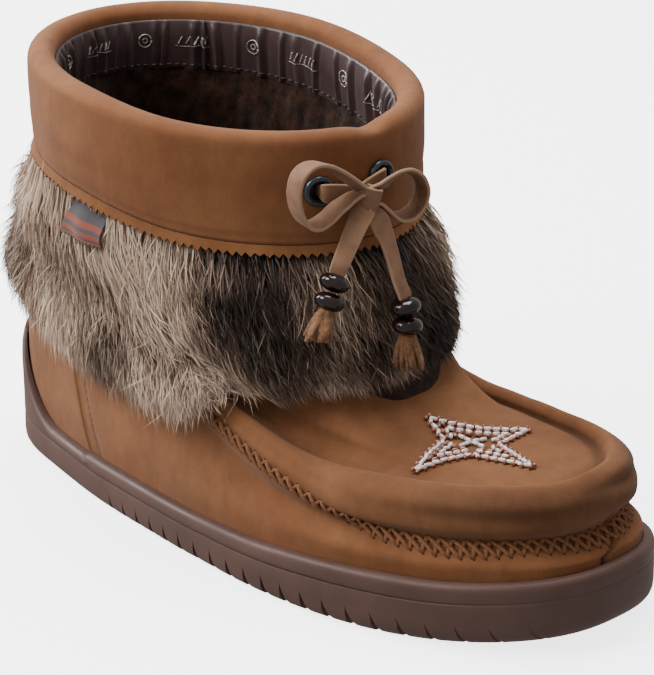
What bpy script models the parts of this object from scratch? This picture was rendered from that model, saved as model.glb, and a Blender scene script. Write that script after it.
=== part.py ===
"""Short mukluk boot for the right foot: cup sole, moccasin upper, fur cuff, folded collar and beaded lace.

Metres, +X to the toe, +Y to the inner side, +Z up. The origin is on the floor under the heel's centre.
"""

import math

import bpy
import numpy as np
from mathutils.bvhtree import BVHTree

# Sole: plan, thickness and tread
SOLE_LENGTH = 0.2795
HEEL_REACH = 0.0348
BALL_WIDTH = 0.105
SOLE_THICKNESS = 0.0200
LIP_WIDTH = 0.0043
LIP_DEPTH = 0.0040
LIP_ROUND = 0.0016
TOE_SPRING = 0.0070
ARCH_RISE = 0.0006
HEEL_BEVEL = 0.0018
CUP_RISE = 0.0300
CUP_WALL = 0.0022
TREAD_PITCH = 0.0091
TREAD_GAP = 0.0024
TREAD_DEPTH = 0.0030
NOTCH_HEIGHT = 0.0052
NOTCH_LEAN = 0.0030
TREAD_SWEEP = 0.0120
CENTRE_RIB = 0.0140
TREAD_START = 0.285
TREAD_END = 0.945
TREAD_REACH = 0.62
TOE_BREAK = 0.74
ARCH_START = 0.30
ARCH_END = 0.58
ARCH_BLEND = 0.10
HEEL_BEVEL_END = 0.05

# Upper: heights over the floor, openings and wall
VAMP_HEIGHT = 0.0575
RIM_HEIGHT = 0.1560
SHAFT_LENGTH = 0.1444
SHAFT_WIDTH = 0.1136
SHAFT_FRONT = 0.1332
SHAFT_SIDE = 0.0025
INNER_LIFT = 0.0030
WALL = 0.0024
COUNTER_RISE = 0.0010
COUNTER_STEP = 1.6
INSOLE_THICKNESS = 0.0035

# Collar, pinked trim, label and fur cuff
COLLAR_PAD = 0.0044
COLLAR_LINING = 0.0024
COLLAR_ROLL = 0.0050
COLLAR_TURN_IN = 0.0140
TRIM_THICKNESS = 0.0011
TRIM_HEIGHT = 0.0046
FUR_DEPTH = 0.0100
FUR_HIDE = 0.0016
FUR_GAP = 0.0010
LOCK_DEPTH = 0.0022
LABEL_WIDTH = 0.0205
LABEL_HEIGHT = 0.0112
LABEL_THICKNESS = 0.0012
LABEL_BEARING = -98.5
LABEL_GAP = 0.0010

# Eyelets and flat lace. A bearing is in plan, from +X about the middle of the shaft.
EYELET_HOLE = 0.0060
EYELET_WALL = 0.0006
EYELET_FLANGE = 0.0110
EYELET_RIM = 0.0010
EYELET_LEFT = (-18.7, 0.1365)
EYELET_RIGHT = (-1.2, 0.1380)
KNOT_PLACE = (-7.6, 0.1337)
KNOT_STAND_OFF = 0.0080
KNOT_SIZE = (0.0062, 0.0100, 0.0096)
KNOT_SHIFT = (0.0025, 0.0008, -0.0008)
LACE_WIDTH = 0.0080
LACE_THICKNESS = 0.0014
LACE_NARROW = 0.0038
BAR_STAND_OFF = 0.0015
BAR_OVER_EYELET = 0.0040

# Beads, tufts and the bead star
BEAD_DIAMETER = 0.0105
BEAD_HEIGHT = 0.0062
BEAD_BORE = 0.32
TUFT_WIDTH = 0.0110
STAR_CENTRE = (0.181, 0.0005)
STAR_WAIST = 0.0085
STAR_THICKNESS = 0.0016
STAR_GAP = 0.0013

# Tips of the star from its centre, in metres
STAR_TIPS = (
    # along, across
    (0.0265, 0.0005),
    (0.0082, 0.0190),
    (-0.0180, -0.0018),
    (-0.0022, -0.0252),
)

# Clearance between pieces that meet
FIT_GAP = 0.0003

# Sole outline: place along the sole as a share of its length; centre line and half width as shares of
# half the ball width
OUTLINE = (
    # place, centre, half
    (0.000, 0.00, 0.93),
    (0.120, 0.02, 0.88),
    (0.280, -0.07, 0.83),
    (0.480, -0.12, 0.89),
    (0.700, -0.04, 1.065),
    (0.835, 0.02, 1.12),
    (0.950, 0.09, 1.20),
    (1.000, 0.10, 1.22),
)
END_ROUNDNESS = 0.8

# Lip of the cup: place along the sole, height as a share of the sole's thickness
LIP = (
    (0.00, 0.75),
    (0.20, 0.765),
    (0.40, 0.82),
    (0.57, 0.87),
    (0.70, 1.00),
    (0.85, 1.11),
    (0.95, 1.29),
    (1.00, 1.40),
)

# Side of the sole: height as a share of the lip's height, inset as a share of the lip's width
SIDE = (
    # name, height, inset
    ("tread edge", 0.00, 0.45),
    ("rounding", 0.07, 0.18),
    ("side foot", 0.18, 0.04),
    ("side", 0.40, 0.00),
    ("groove foot", 0.640, 0.02),
    ("groove", 0.675, 0.34),
    ("groove top", 0.715, 0.04),
)

# Upper, one ring per row. back and front are shares of the sole's length. shape blends the foot's
# outline (0) into an oval (1). The widths at heel, waist and ball are shares of half the ball width.
# Heights at heel and waist are shares of the rim's height, those at ball and toe of the vamp's height.
FOOT_RINGS = (
    # name, back, front, shape, w_heel, w_waist, w_ball, z_heel, z_waist, z_ball, z_toe
    ("bulge", 0.012, 0.981, 0.0, 0.90, 0.930, 0.925, 0.192, 0.180, 0.480, 0.545),
    ("stitch", 0.014, 0.958, 0.0, 0.92, 0.930, 0.852, 0.300, 0.320, 0.590, 0.635),
    ("puff low", 0.017, 0.974, 0.0, 0.92, 0.945, 0.905, 0.365, 0.372, 0.690, 0.745),
    ("puff", 0.021, 0.973, 0.0, 0.91, 0.950, 0.900, 0.423, 0.417, 0.805, 0.861),
    ("puff top", 0.026, 0.962, 0.0, 0.91, 0.950, 0.845, 0.474, 0.455, 0.890, 0.940),
    ("crest", 0.033, 0.945, 0.0, 0.91, 0.950, 0.760, 0.526, 0.490, 0.930, 0.975),
    ("plug edge", 0.039, 0.931, 0.0, 0.92, 0.950, 0.690, 0.558, 0.515, 0.870, 0.890),
    ("plug rim", 0.045, 0.855, 0.2, 0.93, 0.945, 0.610, 0.590, 0.545, 0.925, 0.900),
    ("plug", 0.050, 0.759, 0.4, 0.96, 0.945, 0.700, 0.622, 0.583, 1.120, 0.925),
)
# Above the plug all heights are shares of the rim's height, and the widths of half the shaft's width.
SHAFT_RINGS = (
    # name, back, front, shape, w_heel, w_waist, w_ball, z_heel, z_waist, z_ball, z_toe
    ("instep", 0.057, 0.684, 0.6, 0.95, 0.930, 0.800, 0.654, 0.626, 0.500, 0.385),
    ("throat", 0.064, 0.641, 0.8, 0.98, 0.945, 0.885, 0.692, 0.669, 0.590, 0.487),
    ("ankle", 0.071, 0.620, 1.0, 0.97, 0.960, 0.955, 0.740, 0.720, 0.670, 0.622),
    ("seam", 0.084, 0.601, 1.0, 0.97, 0.970, 0.970, 0.833, 0.811, 0.769, 0.747),
    ("collar", 0.084, 0.600, 1.0, 1.00, 1.000, 1.000, 0.929, 0.904, 0.865, 0.853),
    ("rim", 0.084, 0.599, 1.0, 1.00, 1.000, 1.000, 1.000, 0.987, 0.958, 0.946),
)
STATIONS = (0.0, 0.40, 0.72, 1.0)

# Row numbers of the upper's rings: 0 is its foot on the sole, 1 the lip, 2 the first of FOOT_RINGS
CREST = 7
PLUG_EDGE = 8
PLUG = 10
SEAM = 14
RIM = 16
OUTER_ROWS = (0, 1, 1.5, 2, 2.5, 3, 3.5, 4, 5, 6, 7, 7.5, 8, 9, 9.5, 10, 11, 11.5, 12, 13, 14, 15, 16)
INNER_ROWS = (0, 1, 3, 5, 7, 8, 9, 10, 11, 12, 13, 15, 16)

# Columns round the shoe, per side: to the counter's seam, then on to the toe
COUNTER_COLUMNS = 6
SIDE_COLUMNS = 19
COUNTER_SEAM = (58.0, 44.0)
COUNTER_TOP = 6
CUP_ANGLES = (10.0, 46.0)
EYELET_SIDES = 16
KNOT_SIDES = 10
BEAD_SIDES = 12
TUFT_SIDES = 12

# Lower edge of the fur: angle from the heel, row of the upper on the outer and on the inner side
HEM = (
    # angle, outer, inner
    (0.0, 4.3, 4.3),
    (22.0, 4.1, 4.3),
    (37.0, 3.4, 4.3),
    (52.0, 3.1, 4.2),
    (66.0, 3.0, 4.2),
    (80.0, 3.1, 4.1),
    (88.0, 3.8, 4.5),
    (95.0, 5.2, 5.6),
    (102.0, 7.5, 7.3),
    (109.0, 9.2, 8.7),
    (116.0, 10.0, 9.6),
    (130.0, 10.8, 10.8),
    (150.0, 11.3, 11.3),
    (180.0, 11.6, 11.6),
)
# Fur from under the trim down to the hem: place, depth as a share of the fur's depth
FUR_PROFILE = (
    (0.00, 0.16),
    (0.14, 0.52),
    (0.30, 0.82),
    (0.48, 0.96),
    (0.66, 1.00),
    (0.84, 0.86),
    (1.00, 0.36),
)
FUR_INNER_RINGS = 11
BULGE_MARGIN = 2.2
LOCK_STEPS = (0.0, 1.0, 0.35, -0.5, 0.8, 0.2, -0.4, 0.6)
LOCK_LENGTHS = (0.0, 0.9, 0.3, 0.6, 0.1, 1.0, 0.5)
LOCK_REACH = 0.45

# The bow, in metres from the knot: toward the outer side, up and out from the collar. In the loops the
# last column is the tilt of the thong's width, in degrees up from straight out; in the tails, its twist.
LOOP_LEFT = (
    # left, up, tilt
    (0.0062, 0.0056, 30.0),
    (0.0140, 0.0122, 15.0),
    (0.0202, 0.0160, 8.0),
    (0.0256, 0.0166, 4.0),
    (0.0300, 0.0138, 0.0),
    (0.0317, 0.0080, 0.0),
    (0.0308, 0.0020, 0.0),
    (0.0280, -0.0030, -5.0),
    (0.0240, -0.0047, -8.0),
    (0.0195, -0.0034, -8.0),
    (0.0138, 0.0002, -5.0),
    (0.0062, 0.0030, 0.0),
)
LOOP_RIGHT = (
    # left, up, tilt
    (-0.0012, 0.0036, 50.0),
    (-0.0050, 0.0050, 48.0),
    (-0.0092, 0.0067, 38.0),
    (-0.0135, 0.0074, 20.0),
    (-0.0178, 0.0050, 8.0),
    (-0.0200, 0.0000, 0.0),
    (-0.0188, -0.0047, -5.0),
    (-0.0145, -0.0082, -8.0),
    (-0.0092, -0.0082, -5.0),
    (-0.0046, -0.0044, 0.0),
    (-0.0012, -0.0016, 10.0),
)
TAIL_LEFT = (
    # left, up, out, twist
    (0.0060, -0.0016, 0.0030, -20.0),
    (0.0098, -0.0052, 0.0050, -30.0),
    (0.0148, -0.0102, 0.0075, -35.0),
    (0.0190, -0.0152, 0.0092, -35.0),
    (0.0212, -0.0186, 0.0098, -30.0),
)
TAIL_RIGHT = (
    # left, up, out, twist
    (0.0016, -0.0050, 0.0048, 10.0),
    (-0.0006, -0.0118, 0.0066, 15.0),
    (-0.0012, -0.0182, 0.0095, 20.0),
    (-0.0014, -0.0252, 0.0128, 20.0),
    (-0.0022, -0.0302, 0.0150, 15.0),
)
TUFT_SHAPE = (
    # place, half width
    (0.00, 0.34),
    (0.18, 0.60),
    (0.55, 0.86),
    (0.85, 1.00),
)
TUFT_TIPS = (1.00, 0.90, 1.04, 0.86, 0.98, 0.92)
TUFT_LEFT_END = (0.0306, -0.0400, 0.0125)
TUFT_RIGHT_END = (-0.0020, -0.0545, 0.0200)


def ease(value):
    clipped = np.clip(value, 0.0, 1.0)
    return clipped * clipped * (3.0 - 2.0 * clipped)


def curve(knots, values, where):
    """A smooth curve through the knots that doesn't overshoot them."""
    knots = np.asarray(knots, float)
    values = np.asarray(values, float)
    where = np.clip(np.asarray(where, float), knots[0], knots[-1])
    slope = np.diff(values) / np.diff(knots)
    tangent = np.zeros(len(knots))
    same_way = slope[:-1] * slope[1:] > 0.0
    total = np.where(same_way, slope[:-1] + slope[1:], 1.0)
    tangent[1:-1] = np.where(same_way, 2.0 * slope[:-1] * slope[1:] / total, 0.0)
    tangent[0], tangent[-1] = slope[0], slope[-1]
    piece = np.clip(np.searchsorted(knots, where, side="right") - 1, 0, len(knots) - 2)
    width = knots[piece + 1] - knots[piece]
    u = (where - knots[piece]) / width
    start = values[piece] + (values[piece + 1] - values[piece]) * ease(u)
    bend_in = u * (1.0 - u) ** 2 * tangent[piece]
    bend_out = u * u * (1.0 - u) * tangent[piece + 1]
    return start + width * (bend_in - bend_out)


def column(table, index):
    return [row[index] for row in table]


def share_at(angles):
    """Place along a ring, 0 at the heel and 1 at the toe."""
    return (1.0 - np.cos(angles)) / 2.0


def foot_profile(share, rounding):
    half = curve(column(OUTLINE, 0), column(OUTLINE, 2), share)
    return half * rounding**END_ROUNDNESS


def centre_line(share):
    return curve(column(OUTLINE, 0), column(OUTLINE, 1), share) * BALL_WIDTH / 2.0


def sole_outline(angles, inset):
    """Plan points of the sole's edge, moved in by the inset."""
    share = share_at(angles)
    half = foot_profile(share, np.abs(np.sin(angles))) * BALL_WIDTH / 2.0
    x = SOLE_LENGTH * share - HEEL_REACH
    y = centre_line(share) + np.where(np.sin(angles) >= 0.0, half, -half)
    plan = np.stack([x, y], axis=1)
    along = np.roll(plan, -1, axis=0) - np.roll(plan, 1, axis=0)
    outward = np.stack([-along[:, 1], along[:, 0]], axis=1)
    outward /= np.linalg.norm(outward, axis=1)[:, None]
    return plan - outward * np.broadcast_to(inset, len(plan))[:, None]


def place_of(x):
    return np.clip((np.asarray(x) + HEEL_REACH) / SOLE_LENGTH, 0.0, 1.0)


def ground(x):
    """Height of the tread: flat at heel and ball, raised at the arch, the toe and the heel's very end."""
    place = place_of(x)
    toe = TOE_SPRING * np.clip((place - TOE_BREAK) / (1.0 - TOE_BREAK), 0.0, 1.0) ** 2
    arch = ARCH_RISE * ease((place - ARCH_START) / ARCH_BLEND) * ease((ARCH_END - place) / ARCH_BLEND)
    return toe + arch + HEEL_BEVEL * np.clip(1.0 - place / HEEL_BEVEL_END, 0.0, 1.0)


def lip_height(x):
    return curve(column(LIP, 0), column(LIP, 1), place_of(x)) * SOLE_THICKNESS


def platform_height(x):
    return lip_height(x) - LIP_DEPTH


def column_angles(row):
    """Angles of the columns at a row: a close pair follows the counter's slanting seam."""
    rise = min(row / COUNTER_TOP, 1.0)
    seam = COUNTER_SEAM[0] + (COUNTER_SEAM[1] - COUNTER_SEAM[0]) * rise
    heel = np.linspace(0.0, seam, COUNTER_COLUMNS + 1)
    front = np.linspace(seam + COUNTER_STEP, 180.0, SIDE_COLUMNS + 1)
    half = np.concatenate([heel, front])
    return np.radians(np.concatenate([half, 360.0 - half[-2:0:-1]]))


COLUMNS = len(column_angles(0))


def table_ring(values, row, in_shaft):
    back, front, shape, w_heel, w_waist, w_ball, z_heel, z_waist, z_ball, z_toe = values[1:]
    angles = column_angles(row)
    share = share_at(angles)
    rounding = np.abs(np.sin(angles))
    outline_half = foot_profile(share, rounding)
    width = curve(STATIONS, (w_heel, w_waist, w_ball, w_ball), share)
    half_size = (SHAFT_WIDTH if in_shaft else BALL_WIDTH) / 2.0
    half = width * half_size * (outline_half * (1.0 - shape) + rounding * shape)
    middle = centre_line(share) * (1.0 - shape) + SHAFT_SIDE * shape
    start = SOLE_LENGTH * back - HEEL_REACH
    length = SOLE_LENGTH * (front - back)
    if in_shaft:
        shift = SHAFT_FRONT - (SOLE_LENGTH * SHAFT_RINGS[-1][2] - HEEL_REACH)
        start += shift
        stretch = SHAFT_LENGTH - SOLE_LENGTH * (SHAFT_RINGS[-1][2] - SHAFT_RINGS[-1][1])
        start -= stretch
        length += stretch
    x = start + length * share
    y = middle + np.where(np.sin(angles) >= 0.0, half, -half)
    front_size = RIM_HEIGHT if in_shaft else VAMP_HEIGHT
    heights = (z_heel * RIM_HEIGHT, z_waist * RIM_HEIGHT, z_ball * front_size, z_toe * front_size)
    tilt = INNER_LIFT * np.sin(angles) * ease((row - 2.0) / (CREST - 2.0)) * ease((SEAM - row) / 3.0)
    return np.stack([x, y, curve(STATIONS, heights, share) + tilt], axis=1)


def foot_ring(row):
    """The two lowest rings: the upper's foot on the sole's platform, and the height of the lip."""
    plan = sole_outline(column_angles(row), LIP_WIDTH)
    rise = FIT_GAP if row == 0 else LIP_DEPTH + LIP_ROUND
    return np.column_stack([plan, platform_height(plan[:, 0]) + rise])


def make_rings():
    rings = [foot_ring(0), foot_ring(1)]
    rings += [table_ring(row, 2 + number, False) for number, row in enumerate(FOOT_RINGS)]
    rings += [table_ring(row, 2 + len(FOOT_RINGS) + number, True) for number, row in enumerate(SHAFT_RINGS)]
    return np.array(rings)


def between(rings, row):
    """The ring at a whole or half row, on a smooth curve through the rows beside it."""
    low = min(int(row), len(rings) - 2)
    u = row - low
    before, start, end, after = (rings[min(max(low + step, 0), len(rings) - 1)] for step in (-1, 0, 1, 2))
    bend = (2.0 * before - 5.0 * start + 4.0 * end - after) * u * u
    return start + ((end - before) * u + bend + (3.0 * (start - end) + after - before) * u**3) / 2.0


def make_grid():
    """The upper's outer surface: points and outward directions, a row of them for each of OUTER_ROWS."""
    rings = make_rings()
    points = np.array([between(rings, row) for row in OUTER_ROWS])
    points[0] = rings[0]
    around = np.roll(points, -1, axis=1) - np.roll(points, 1, axis=1)
    up = np.gradient(points, axis=0)
    outward = np.cross(up, around)
    outward[0, :, 2] = 0.0
    outward /= np.linalg.norm(outward, axis=2)[:, :, None]
    for number, row in enumerate(OUTER_ROWS):
        step = np.abs((np.degrees(column_angles(row)) + 180.0) % 360.0 - 180.0)
        seam = np.abs((np.degrees(column_angles(row)[COUNTER_COLUMNS]) + 180.0) % 360.0 - 180.0)
        raised = COUNTER_RISE * (step < seam + COUNTER_STEP / 2.0) * ease((COUNTER_TOP + 1.0 - row) / 1.0)
        points[number] += outward[number] * raised[:, None]
    return points, outward


GRID, OUTWARD = make_grid()


def skin(columns, rows, offset=0.0):
    """Points on the upper's outer surface, moved out by the offset. Columns and rows may be fractions."""
    columns, rows, offset = np.broadcast_arrays(columns, rows, offset)
    level = np.interp(rows, OUTER_ROWS, np.arange(len(OUTER_ROWS)))
    low = np.clip(level.astype(int), 0, len(OUTER_ROWS) - 2)
    up = (level - low)[..., None]
    left = np.floor(columns).astype(int) % COLUMNS
    right = (left + 1) % COLUMNS
    side = (columns - np.floor(columns))[..., None]

    def mix(field):
        lower = field[low, left] * (1.0 - side) + field[low, right] * side
        upper = field[low + 1, left] * (1.0 - side) + field[low + 1, right] * side
        return lower * (1.0 - up) + upper * up

    return mix(GRID) + mix(OUTWARD) * offset[..., None]


ALL_COLUMNS = np.arange(COLUMNS)


def row_at_height(height, top_row):
    """For each column, the row below top_row at which the upper reaches the height."""
    count = OUTER_ROWS.index(top_row) + 1
    rows = [np.interp(height[c], GRID[:count, c, 2], OUTER_ROWS[:count]) for c in ALL_COLUMNS]
    return np.array(rows)


def column_toward(degrees):
    """Fractional column at an angle from the toe in plan, as seen from the middle of the shaft."""
    rim = GRID[-1]
    middle = (rim.min(axis=0) + rim.max(axis=0)) / 2.0
    bearing = np.degrees(np.arctan2(rim[:, 1] - middle[1], rim[:, 0] - middle[0])) - degrees
    bearing = (bearing + 180.0) % 360.0 - 180.0
    after = np.roll(bearing, -1)
    crossing = np.flatnonzero((bearing > 0.0) & (after <= 0.0) & (bearing - after < 90.0))[0]
    return crossing + bearing[crossing] / (bearing[crossing] - after[crossing])


def material(name, colour, roughness, metallic=0.0):
    made = bpy.data.materials.new(name)
    made.use_nodes = True
    shader = made.node_tree.nodes["Principled BSDF"]
    shader.inputs["Base Color"].default_value = (*colour, 1.0)
    shader.inputs["Roughness"].default_value = roughness
    shader.inputs["Metallic"].default_value = metallic
    return made


def volume(points, faces):
    """Volume inside a closed surface, negative where its faces look inward."""
    fans = [(face[0], face[k], face[k + 1]) for face in faces for k in range(1, len(face) - 1)]
    return np.linalg.det(points[np.array(fans)]).sum() / 6.0


def add_solid(name, points, faces, made_of):
    points = np.asarray(points, float)
    if volume(points, faces) < 0.0:
        faces = [face[::-1] for face in faces]
    mesh = bpy.data.meshes.new(name)
    mesh.from_pydata(points.tolist(), [], [tuple(int(i) for i in face) for face in faces])
    mesh.validate()
    mesh.materials.append(made_of)
    mesh.shade_smooth()
    mesh.set_sharp_from_angle(angle=math.radians(40.0))
    solid = bpy.data.objects.new(name, mesh)
    bpy.context.collection.objects.link(solid)
    return solid


def ring_faces(rings, count, closed):
    """Quads between rings of `count` points, and from the last ring back to the first where closed."""
    faces = []
    for ring in range(rings if closed else rings - 1):
        low, high = ring * count, (ring + 1) % rings * count
        for c in range(count):
            d = (c + 1) % count
            faces.append((low + c, high + c, high + d, low + d))
    return faces


def loop_solid(name, rings, made_of):
    """A hollow solid: its section, a closed loop of rings, runs up the outside and down the inside."""
    rings = np.asarray(rings)
    points = rings.reshape(-1, 3)
    return add_solid(name, points, ring_faces(len(rings), rings.shape[1], True), made_of)


def across(start, count, upward):
    """Strips that close a ring of the shoe from side to side."""
    half = count // 2
    faces = []
    for c in range(half):
        left, right = start + c, start + (count - c) % count
        left_on, right_on = start + c + 1, start + count - c - 1
        if c == 0:
            faces.append((left, left_on, right_on))
        elif c == half - 1:
            faces.append((left, left_on, right))
        else:
            faces.append((left, left_on, right_on, right))
    return [face[::-1] if upward else face for face in faces]


def capped_solid(name, rings, made_of):
    """A filled solid whose rings run up from the bottom cap to the top cap."""
    rings = np.asarray(rings)
    count = rings.shape[1]
    faces = ring_faces(len(rings), count, False)
    faces += across(0, count, False) + across((len(rings) - 1) * count, count, True)
    return add_solid(name, rings.reshape(-1, 3), faces, made_of)


def subtract(solid, cutter):
    cutter.hide_render = True
    cutter.display_type = "WIRE"
    cut = solid.modifiers.new("cut", "BOOLEAN")
    cut.operation = "DIFFERENCE"
    cut.object = cutter


def tread_cutter():
    """Slanting grooves from the centre rib to both edges, which show as notches in the sole's side."""
    points = []
    faces = []
    first = SOLE_LENGTH * TREAD_START - HEEL_REACH
    last = SOLE_LENGTH * TREAD_END - HEEL_REACH
    ends = ((CENTRE_RIB / 2.0, TREAD_SWEEP, TREAD_DEPTH), (BALL_WIDTH * TREAD_REACH, 0.0, NOTCH_HEIGHT))
    for number in range(int((last - first) / TREAD_PITCH) + 1):
        for side in (-1.0, 1.0):
            start = len(points)
            for y, shift, depth in ends:
                x = first + number * TREAD_PITCH + shift
                points.append((x - TREAD_GAP / 2.0, side * y, -TREAD_DEPTH))
                points.append((x + TREAD_GAP / 2.0, side * y, -TREAD_DEPTH))
                points.append((x - NOTCH_LEAN, side * y, float(ground(x)) + depth))
            made = [(start, start + 1, start + 2), (start + 3, start + 5, start + 4)]
            for a, b in ((0, 1), (1, 2), (2, 0)):
                made.append((start + a, start + a + 3, start + b + 3, start + b))
            faces += made if side > 0.0 else [face[::-1] for face in made]
    rubber = bpy.data.materials["sole rubber"]
    return add_solid("tread_cutter", points, faces, rubber)


def make_outsole():
    angles = column_angles(0)
    rings = []
    for _, height, inset in SIDE:
        plan = sole_outline(angles, inset * LIP_WIDTH)
        low = ground(plan[:, 0])
        rings.append(np.column_stack([plan, low + height * (lip_height(plan[:, 0]) - low)]))
    heel_angle = np.abs((np.degrees(angles) + 180.0) % 360.0 - 180.0)
    cup = 1.0 - ease((heel_angle - CUP_ANGLES[0]) / (CUP_ANGLES[1] - CUP_ANGLES[0]))
    top = lip_height(GRID[0, :, 0]) + CUP_RISE * cup
    wall = LIP_WIDTH + (CUP_WALL - LIP_WIDTH) * cup
    top_row = row_at_height(top, CREST)
    shoulder_row = row_at_height(top - LIP_ROUND, CREST)
    rings.append(skin(ALL_COLUMNS, shoulder_row, wall * 0.95))
    rings.append(skin(ALL_COLUMNS, top_row, wall * 0.55))
    for part in (1.0, 0.5):
        rings.append(skin(ALL_COLUMNS, top_row * part, FIT_GAP * (1.0 + cup)))
    foot = skin(ALL_COLUMNS, 0, FIT_GAP)
    foot[:, 2] -= FIT_GAP
    rings.append(foot)
    sole = capped_solid("outsole", rings, material("sole rubber", (0.085, 0.060, 0.050), 0.55))
    subtract(sole, tread_cutter())


def make_insole():
    foot = skin(ALL_COLUMNS, 0, -(WALL + FIT_GAP))
    above = skin(ALL_COLUMNS, 1, -(WALL + FIT_GAP))
    rise = INSOLE_THICKNESS / (above[:, 2] - foot[:, 2])
    top = foot + (above - foot) * rise[:, None]
    capped_solid("insole", [foot, top], material("insole felt", (0.23, 0.17, 0.13), 0.95))


def make_upper():
    outer = [skin(ALL_COLUMNS, row) for row in OUTER_ROWS]
    inner = [skin(ALL_COLUMNS, row, -WALL) for row in INNER_ROWS[::-1]]
    loop_solid("upper", outer + inner, material("suede", (0.33, 0.17, 0.085), 0.85))


def row_near(column, height):
    """Row at which one column of the shaft, whole or fractional, reaches a height."""
    rows = np.array(OUTER_ROWS[OUTER_ROWS.index(PLUG_EDGE) :])
    return float(np.interp(height, skin(column, rows)[:, 2], rows))


def shaft_frame(place, offset):
    """Point over the upper at a bearing and height, with the directions to its left, up and out."""
    column = column_toward(place[0])
    row = row_near(column, place[1])
    point = skin(column, row, offset)
    out = skin(column, row, 1.0) - skin(column, row)
    out[2] = 0.0
    out /= np.linalg.norm(out)
    up = np.array([0.0, 0.0, 1.0])
    return point, np.cross(out, up), up, out


def make_collar():
    pad = FIT_GAP + COLLAR_PAD
    inside = -(WALL + FIT_GAP)
    lining = inside - COLLAR_LINING
    turn_row = row_at_height(GRID[-1, :, 2] - COLLAR_TURN_IN, RIM)

    def over_rim(offset, rise):
        ring = skin(ALL_COLUMNS, RIM, offset)
        ring[:, 2] += rise
        return ring

    rings = [
        skin(ALL_COLUMNS, SEAM, FIT_GAP + COLLAR_PAD * 0.80),
        skin(ALL_COLUMNS, SEAM + 0.35, pad),
        skin(ALL_COLUMNS, SEAM + 1, pad),
        over_rim(pad, 0.0),
        over_rim(pad * 0.62, COLLAR_ROLL * 0.72),
        over_rim(-WALL / 2.0, COLLAR_ROLL),
        over_rim(inside - COLLAR_LINING * 0.65, COLLAR_ROLL * 0.66),
        over_rim(lining, 0.0),
        skin(ALL_COLUMNS, turn_row, lining),
        skin(ALL_COLUMNS, turn_row, inside),
        skin(ALL_COLUMNS, SEAM + 1, inside),
        over_rim(inside, FIT_GAP),
        over_rim(FIT_GAP, FIT_GAP),
        skin(ALL_COLUMNS, SEAM + 1, FIT_GAP),
        skin(ALL_COLUMNS, SEAM, FIT_GAP),
    ]
    collar = loop_solid("collar", rings, material("collar suede", (0.38, 0.20, 0.10), 0.8))
    subtract(collar, eyelet_cutter())


def spun(centre, axis, profile, count, lobes=0.0):
    """Rings of a turned shape: profile pairs of distance along the axis and radius, with optional lobes."""
    axis = axis / np.linalg.norm(axis)
    side = np.cross(axis, (0.0, 0.0, 1.0)) if abs(axis[2]) < 0.9 else np.cross(axis, (1.0, 0.0, 0.0))
    side /= np.linalg.norm(side)
    other = np.cross(axis, side)
    turn = np.linspace(0.0, 2.0 * math.pi, count, endpoint=False)
    spoke = side * np.cos(turn)[:, None] + other * np.sin(turn)[:, None]
    share = 1.0 - lobes * (np.arange(count) % 2)
    return np.array([centre + axis * along + spoke * (radius * share)[:, None] for along, radius in profile])


def turned_faces(rings, count):
    faces = ring_faces(rings, count, False)
    return faces + [tuple(range(count)), tuple(range((rings - 1) * count, rings * count))[::-1]]


def eyelet_cutter():
    """Two short rods through the collar's outer leg, which stop short of the upper."""
    points = []
    faces = []
    radius = EYELET_HOLE / 2.0 + EYELET_WALL + FIT_GAP
    for place in (EYELET_LEFT, EYELET_RIGHT):
        centre, _, _, out = shaft_frame(place, 0.0)
        rings = spun(centre, out, ((FIT_GAP / 2.0, radius), (COLLAR_PAD * 2.0, radius)), EYELET_SIDES)
        faces += [tuple(np.add(face, len(points))) for face in turned_faces(2, EYELET_SIDES)]
        points += list(rings.reshape(-1, 3))
    return add_solid("eyelet_cutter", points, faces, bpy.data.materials["collar suede"])


def make_eyelets():
    enamel = material("eyelet enamel", (0.05, 0.06, 0.07), 0.3, 0.6)
    hole = EYELET_HOLE / 2.0
    barrel = hole + EYELET_WALL
    flange = EYELET_FLANGE / 2.0
    low = -COLLAR_PAD * 0.7
    seat = FIT_GAP * 2.0
    crown = seat + EYELET_RIM
    profile = (
        (low, barrel),
        (seat, barrel),
        (seat, flange),
        (crown - EYELET_RIM * 0.4, flange),
        (crown, flange - EYELET_RIM),
        (crown, barrel),
        (crown - EYELET_RIM * 0.3, hole),
        (low, hole),
    )
    for name, place in (("eyelet_left", EYELET_LEFT), ("eyelet_right", EYELET_RIGHT)):
        centre, _, _, out = shaft_frame(place, FIT_GAP + COLLAR_PAD)
        loop_solid(name, spun(centre, out, profile, EYELET_SIDES), enamel)


def make_trim():
    low = row_at_height(GRID[OUTER_ROWS.index(SEAM), :, 2] - TRIM_HEIGHT, SEAM)
    top = row_at_height(GRID[OUTER_ROWS.index(SEAM), :, 2] - FIT_GAP, SEAM)
    inner = FUR_GAP + FUR_HIDE + FIT_GAP
    outer = inner + TRIM_THICKNESS
    section = ((low, outer), (top, outer), (top, inner), (low, inner))
    rings = [skin(ALL_COLUMNS, row, offset) for row, offset in section]
    loop_solid("pinked_trim", rings, material("trim suede", (0.40, 0.21, 0.09), 0.85))


def fur_ends(columns):
    """Rows at the trim's lower edge and at the fur's hem, for whole or fractional columns."""
    seam = GRID[OUTER_ROWS.index(SEAM), :, 2]
    under_trim = row_at_height(seam - TRIM_HEIGHT - FIT_GAP, SEAM)
    angles = np.degrees(column_angles(RIM))
    outer_side = angles > 180.0
    from_heel = np.minimum(angles, 360.0 - angles)
    hem = np.where(
        outer_side,
        curve(column(HEM, 0), column(HEM, 1), from_heel),
        curve(column(HEM, 0), column(HEM, 2), from_heel),
    )
    wrapped = np.append(ALL_COLUMNS, COLUMNS)
    where = np.mod(columns, COLUMNS)
    return (np.interp(where, wrapped, np.append(rows, rows[0])) for rows in (under_trim, hem))


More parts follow.
